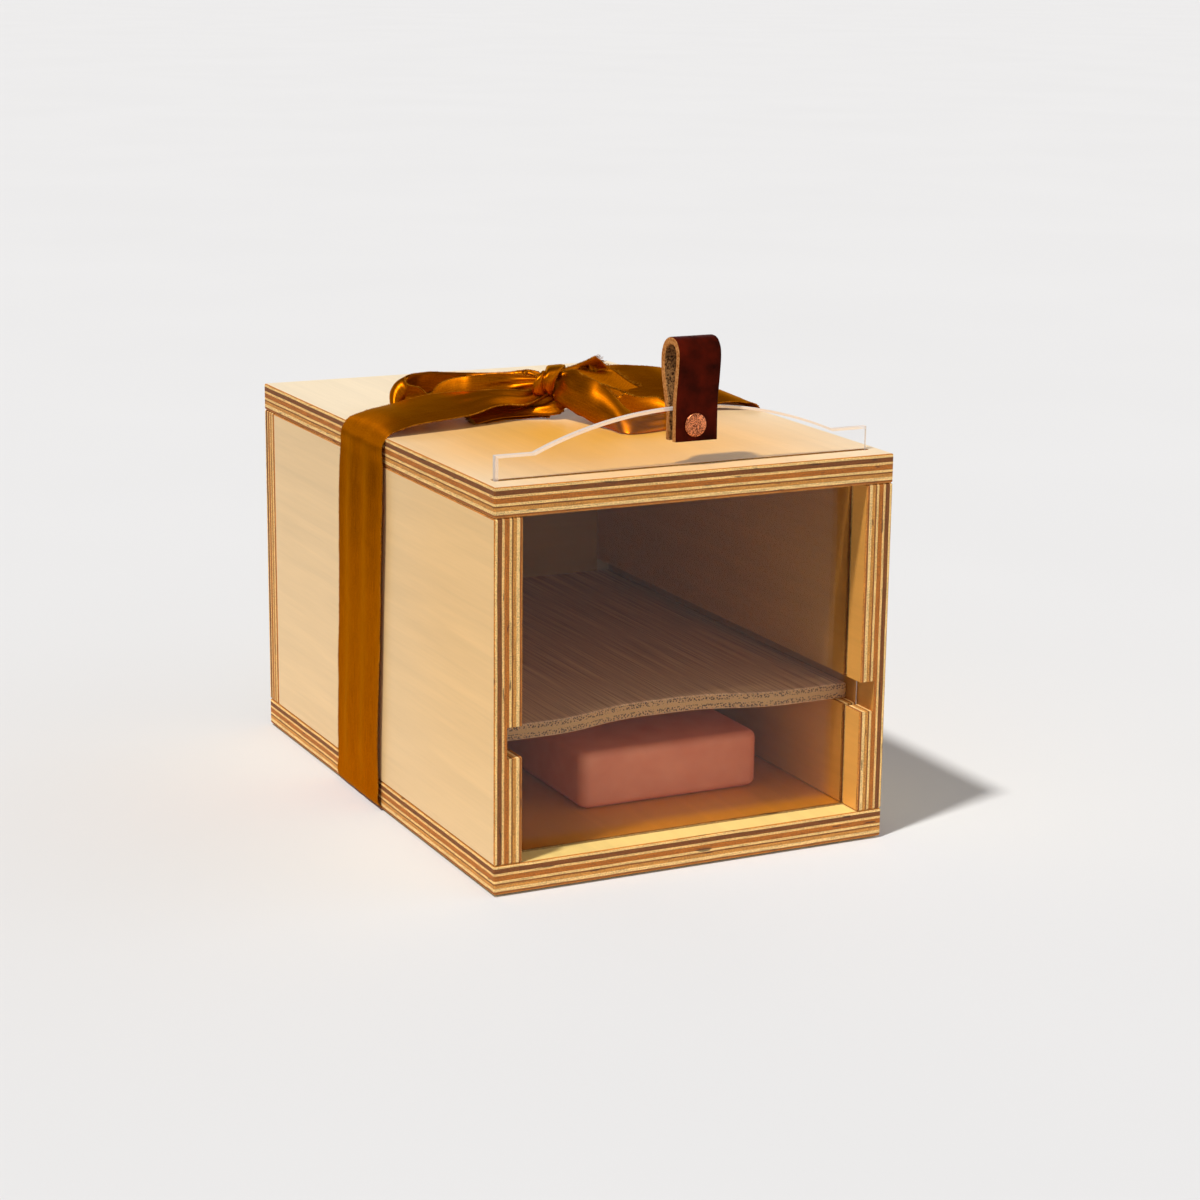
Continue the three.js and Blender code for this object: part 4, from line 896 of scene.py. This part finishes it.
# Loose warp threads stand out of each cut end.
tree, given = new_tree(
    "frayed_end",
    [("Pitch", "NodeSocketFloat"), ("Thread", "NodeSocketFloat"), ("Length", "NodeSocketFloat"),
     ("Direction", "NodeSocketVector"), ("Seed", "NodeSocketInt"), ("Material", "NodeSocketMaterial")],
)
line = add_node(tree, "GeometryNodeMeshToCurve", links={0: (given, "Geometry")})
even = add_node(
    tree, "GeometryNodeResampleCurve", {"mode": "LENGTH"}, {0: (line, 0), "Length": (given, "Pitch")}
)
pin = add_node(tree, "GeometryNodeMeshCylinder", links={"Vertices": 5, "Radius": 1.0, "Depth": 1.0})
lifted = add_node(tree, "GeometryNodeTransform", links={0: (pin, 0), "Translation": (0.0, 0.0, 0.5)})
stray = add_node(
    tree, "FunctionNodeRandomValue", {"data_type": "FLOAT_VECTOR"},
    {0: (-0.6, -0.6, -0.3), 1: (0.6, 0.6, 0.6), "Seed": (given, "Seed")},
)
way = add_node(
    tree, "ShaderNodeVectorMath", {"operation": "ADD"}, {0: (given, "Direction"), 1: (stray, 0)}
)
turned = add_node(tree, "FunctionNodeAlignRotationToVector", {"axis": "Z"}, {"Vector": (way, 0)})
vary = add_node(
    tree, "FunctionNodeRandomValue", {"data_type": "FLOAT"}, {2: 0.25, 3: 1.0, "Seed": (given, "Seed")}
)
long = add_node(tree, "ShaderNodeMath", {"operation": "MULTIPLY"}, {0: (vary, 1), 1: (given, "Length")})
size = add_node(
    tree, "ShaderNodeCombineXYZ", links={0: (given, "Thread"), 1: (given, "Thread"), 2: (long, 0)}
)
fringe = add_node(
    tree, "GeometryNodeInstanceOnPoints",
    links={0: (even, 0), "Instance": (lifted, 0), "Rotation": (turned, 0), "Scale": (size, 0)},
)
whole = add_node(tree, "GeometryNodeRealizeInstances", links={0: (fringe, 0)})
painted = add_node(tree, "GeometryNodeSetMaterial", links={0: (whole, 0), "Material": (given, "Material")})
add_node(tree, "NodeGroupOutput", links={0: (painted, 0)})

for name, rows, folds, phase, inward, seed, held_by in (
    ("right_tail", RIGHT_TAIL, 1.5, 0.25, -1, 3, "ribbon_wrap"),
    ("left_tail", LEFT_TAIL, 2.5, 0.0, 1, 5, "top_panel"),
):
    surface, length = run(rows, folds=folds, phase=phase, inward=inward, columns=64)
    heading = (surface[-1] - surface[-3]).mean(axis=0)
    end = surface[-1] / 1000 + np.array([0.0, 0.0, TOP_MM / 1000])
    fray = grow(
        f"{name}_fray", end.tolist(), [range(len(end))], tree,
        {"Pitch": FRAY_PITCH, "Thread": FRAY_THREAD, "Length": FRAY_LENGTH, "Seed": seed,
         "Material": selvedge_thread, "Direction": (heading / np.linalg.norm(heading)).tolist()},
    )
    tie(name, surface, length, [f"bow_{name}"], "gathered", ["knot", held_by], [fray])
